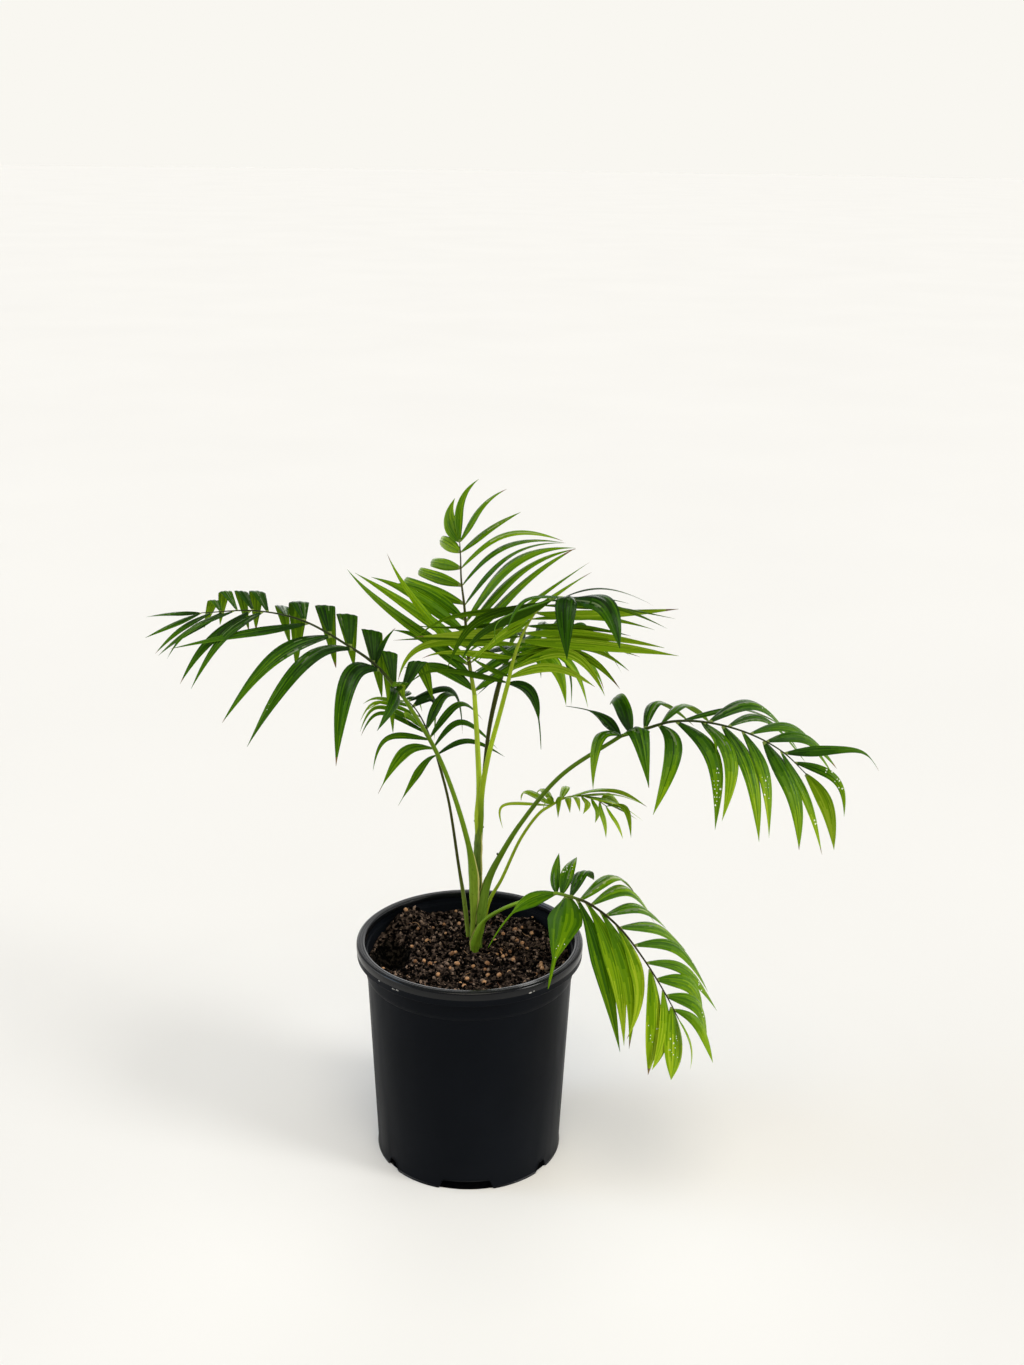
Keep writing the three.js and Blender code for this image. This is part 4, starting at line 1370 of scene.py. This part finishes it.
def add_specks(pile, sheets, clusters, chance):
    """Clusters of specks on the outer halves of leaflets, where they are wide enough to carry them."""
    for _ in range(clusters):
        sheet, normal, half = chance.choice(sheets)
        middle = ALONG * chance.uniform(0.5, 0.82)
        for _ in range(chance.randint(1, 11)):
            i, j = round(min(middle + chance.gauss(0, 2.5), ALONG - 2)), chance.randint(2, ACROSS - 2)
            if half[i] < 2.5:
                continue
            place = sheet[i, j] + normal[i] * LEAF_THICKNESS / 2
            add_speck(pile, place, normal[i], chance.uniform(0.3, 0.95), chance)


RIB_LOOKS = {
    "left": (48, 58, 24),
    "left_small": (44, 50, 24),
    "upright": (60, 62, 18),
    "centre_front": (154, 176, 40),
    "centre_back": (60, 62, 26),
    "right": (48, 60, 20),
    "right_small": (110, 120, 36),
    "right_low": (48, 48, 22),
}
# The length over which a rib takes on its own colour after its stalk's.
RIB_FADE = 30
# How many clusters of white mineral specks each frond's leaflets carry.
SPECKS = {"left": 4, "right": 20, "right_low": 12}


def make_frond(name, looks, speck_look):
    """A frond's rib with all its leaflets as one piece, and the specks on them as another."""
    chance = random.Random(name)
    rib = [STALKS[name][-1][:3], *RIBS[name]]
    pile, specks = Pile(), Pile()
    radii = np.linspace(STALKS[name][-1][3], 0.6, RIB_STEPS) * np.linspace(0.95, 0.7, RIB_STEPS)
    centres = smooth_line(rib, np.linspace(0, 1, RIB_STEPS))
    add_tube(pile, centres, radii, sides=12, look=RIB_LOOK, ridge=0.03, seed=1)
    sheets = []
    for side in LEAFLETS[name]:
        sheets += add_side(pile, rib, side, chance)
    add_specks(specks, sheets, SPECKS.get(name, 0), chance)
    foot = (STALK_LOOKS[name], 0, RIB_FADE)
    rib_look = stalk_material(f"rib_{name}", linear(*RIB_LOOKS[name]), "leaf", foot)
    piece = pile.mesh(f"frond_{name}", [*looks, rib_look], "leaf")
    finish_piece(piece, [f"{name}_frond_{part}_blade" for part in FROND_NODES[name]])
    if specks.count:
        finish_piece(specks.mesh(f"specks_{name}", [speck_look], "leaf"))


def make_fronds():
    looks = leaf_set()
    speck_look = plain_material("mineral_speck", (226, 230, 214), 0.6, 0.2)
    for name in RIBS:
        make_frond(name, looks, speck_look)


# ---------------------------------------------------------------- studio


def add_sun(name, strength, colour, azimuth, elevation, softness):
    """A far lamp, azimuth degrees to the right of the front and elevation degrees above the horizon."""
    data = bpy.data.lights.new(name, "SUN")
    data.energy = strength
    data.color = colour
    data.angle = math.radians(softness)
    lamp = bpy.data.objects.new(name, data)
    bpy.context.scene.collection.objects.link(lamp)
    az, el = math.radians(azimuth), math.radians(elevation)
    toward = Vector((math.sin(az) * math.cos(el), -math.cos(az) * math.cos(el), math.sin(el)))
    lamp.rotation_euler = toward.to_track_quat("Z", "Y").to_euler()


def add_world():
    """Soft light from all round, brighter overhead, with glowing panels low at the sides and behind.

    The camera sees plain pale paper instead.
    """
    world = bpy.data.worlds.new("studio")
    bpy.context.scene.world = world
    world.use_nodes = True
    world.node_tree.nodes.clear()
    s = Nodes(world.node_tree)
    way = s.split(s.node("TexCoord").outputs["Generated"])
    sky = s.spread(way["Z"], 0.0, 0.8, 0.24, 0.4)
    outward = s.math("MAXIMUM", s.math("ABSOLUTE", way["X"]), way["Y"])
    glow = s.spread(outward, 0.75, 0.96, 0.0, 2.2)
    lit = s.node("Background", {"Color": s.math("ADD", sky, glow)})
    seen = s.node("Background", {"Color": linear(249, 247, 241)})
    to_camera = s.node("LightPath").outputs["Is Camera Ray"]
    choose = s.node("MixShader", {0: to_camera, 1: lit.outputs[0], 2: seen.outputs[0]})
    s.node("OutputWorld", {"Surface": choose.outputs[0]})


def add_floor():
    """A wide disc of pale paper, painted brighter near the pot: painted light that lifts the shade of the
    pot and plant.
    """
    sides, radius = 128, 40000
    pile = Pile()
    ring = [on_circle(radius, 2 * math.pi * k / sides, 0) for k in range(sides)]
    pile.add(ring, [cap(0, sides)], 0)
    s = Shader("floor_paper", 0.95, 0.0)
    cloud = s.spread(s.noise(s.coordinates(), 1.3, 2.0), 0.3, 0.7)
    away = s.node("VectorMath", {0: s.coordinates()}, operation="LENGTH").outputs["Value"]
    # Near the pot the paper is brighter, as painted light against the shade the pot and plant cast there.
    near = s.mix(cloud, linear(243, 242, 240), linear(245, 244, 242))
    far = s.mix(cloud, linear(236, 235, 233), linear(238, 237, 235))
    s.colour(s.mix(s.spread(away, 0.26, 0.48), near, far))
    floor = pile.mesh("studio_floor", [s.material], "floor")


def add_studio():
    add_floor()
    add_world()
    add_sun("soft_top", 1.12, (1.0, 0.92, 0.76), 4, 65, 34)
    add_sun("key_right", 1.15, (1.0, 0.98, 0.94), 66, 31, 18)
    add_sun("fill_left", 0.37, (0.4, 0.66, 1.0), -90, 35, 20)
    view = bpy.context.scene.view_settings
    view.view_transform = "Standard"
    view.look = "None"
    view.exposure = 0
    view.gamma = 1


# ---------------------------------------------------------------- the scene

add_camera()
make_pot()
make_scuffs()
make_soil()
make_crumbs()
make_fibres()
make_prills()
make_stem()
make_stalks()
make_buds()
make_fronds()
add_studio()
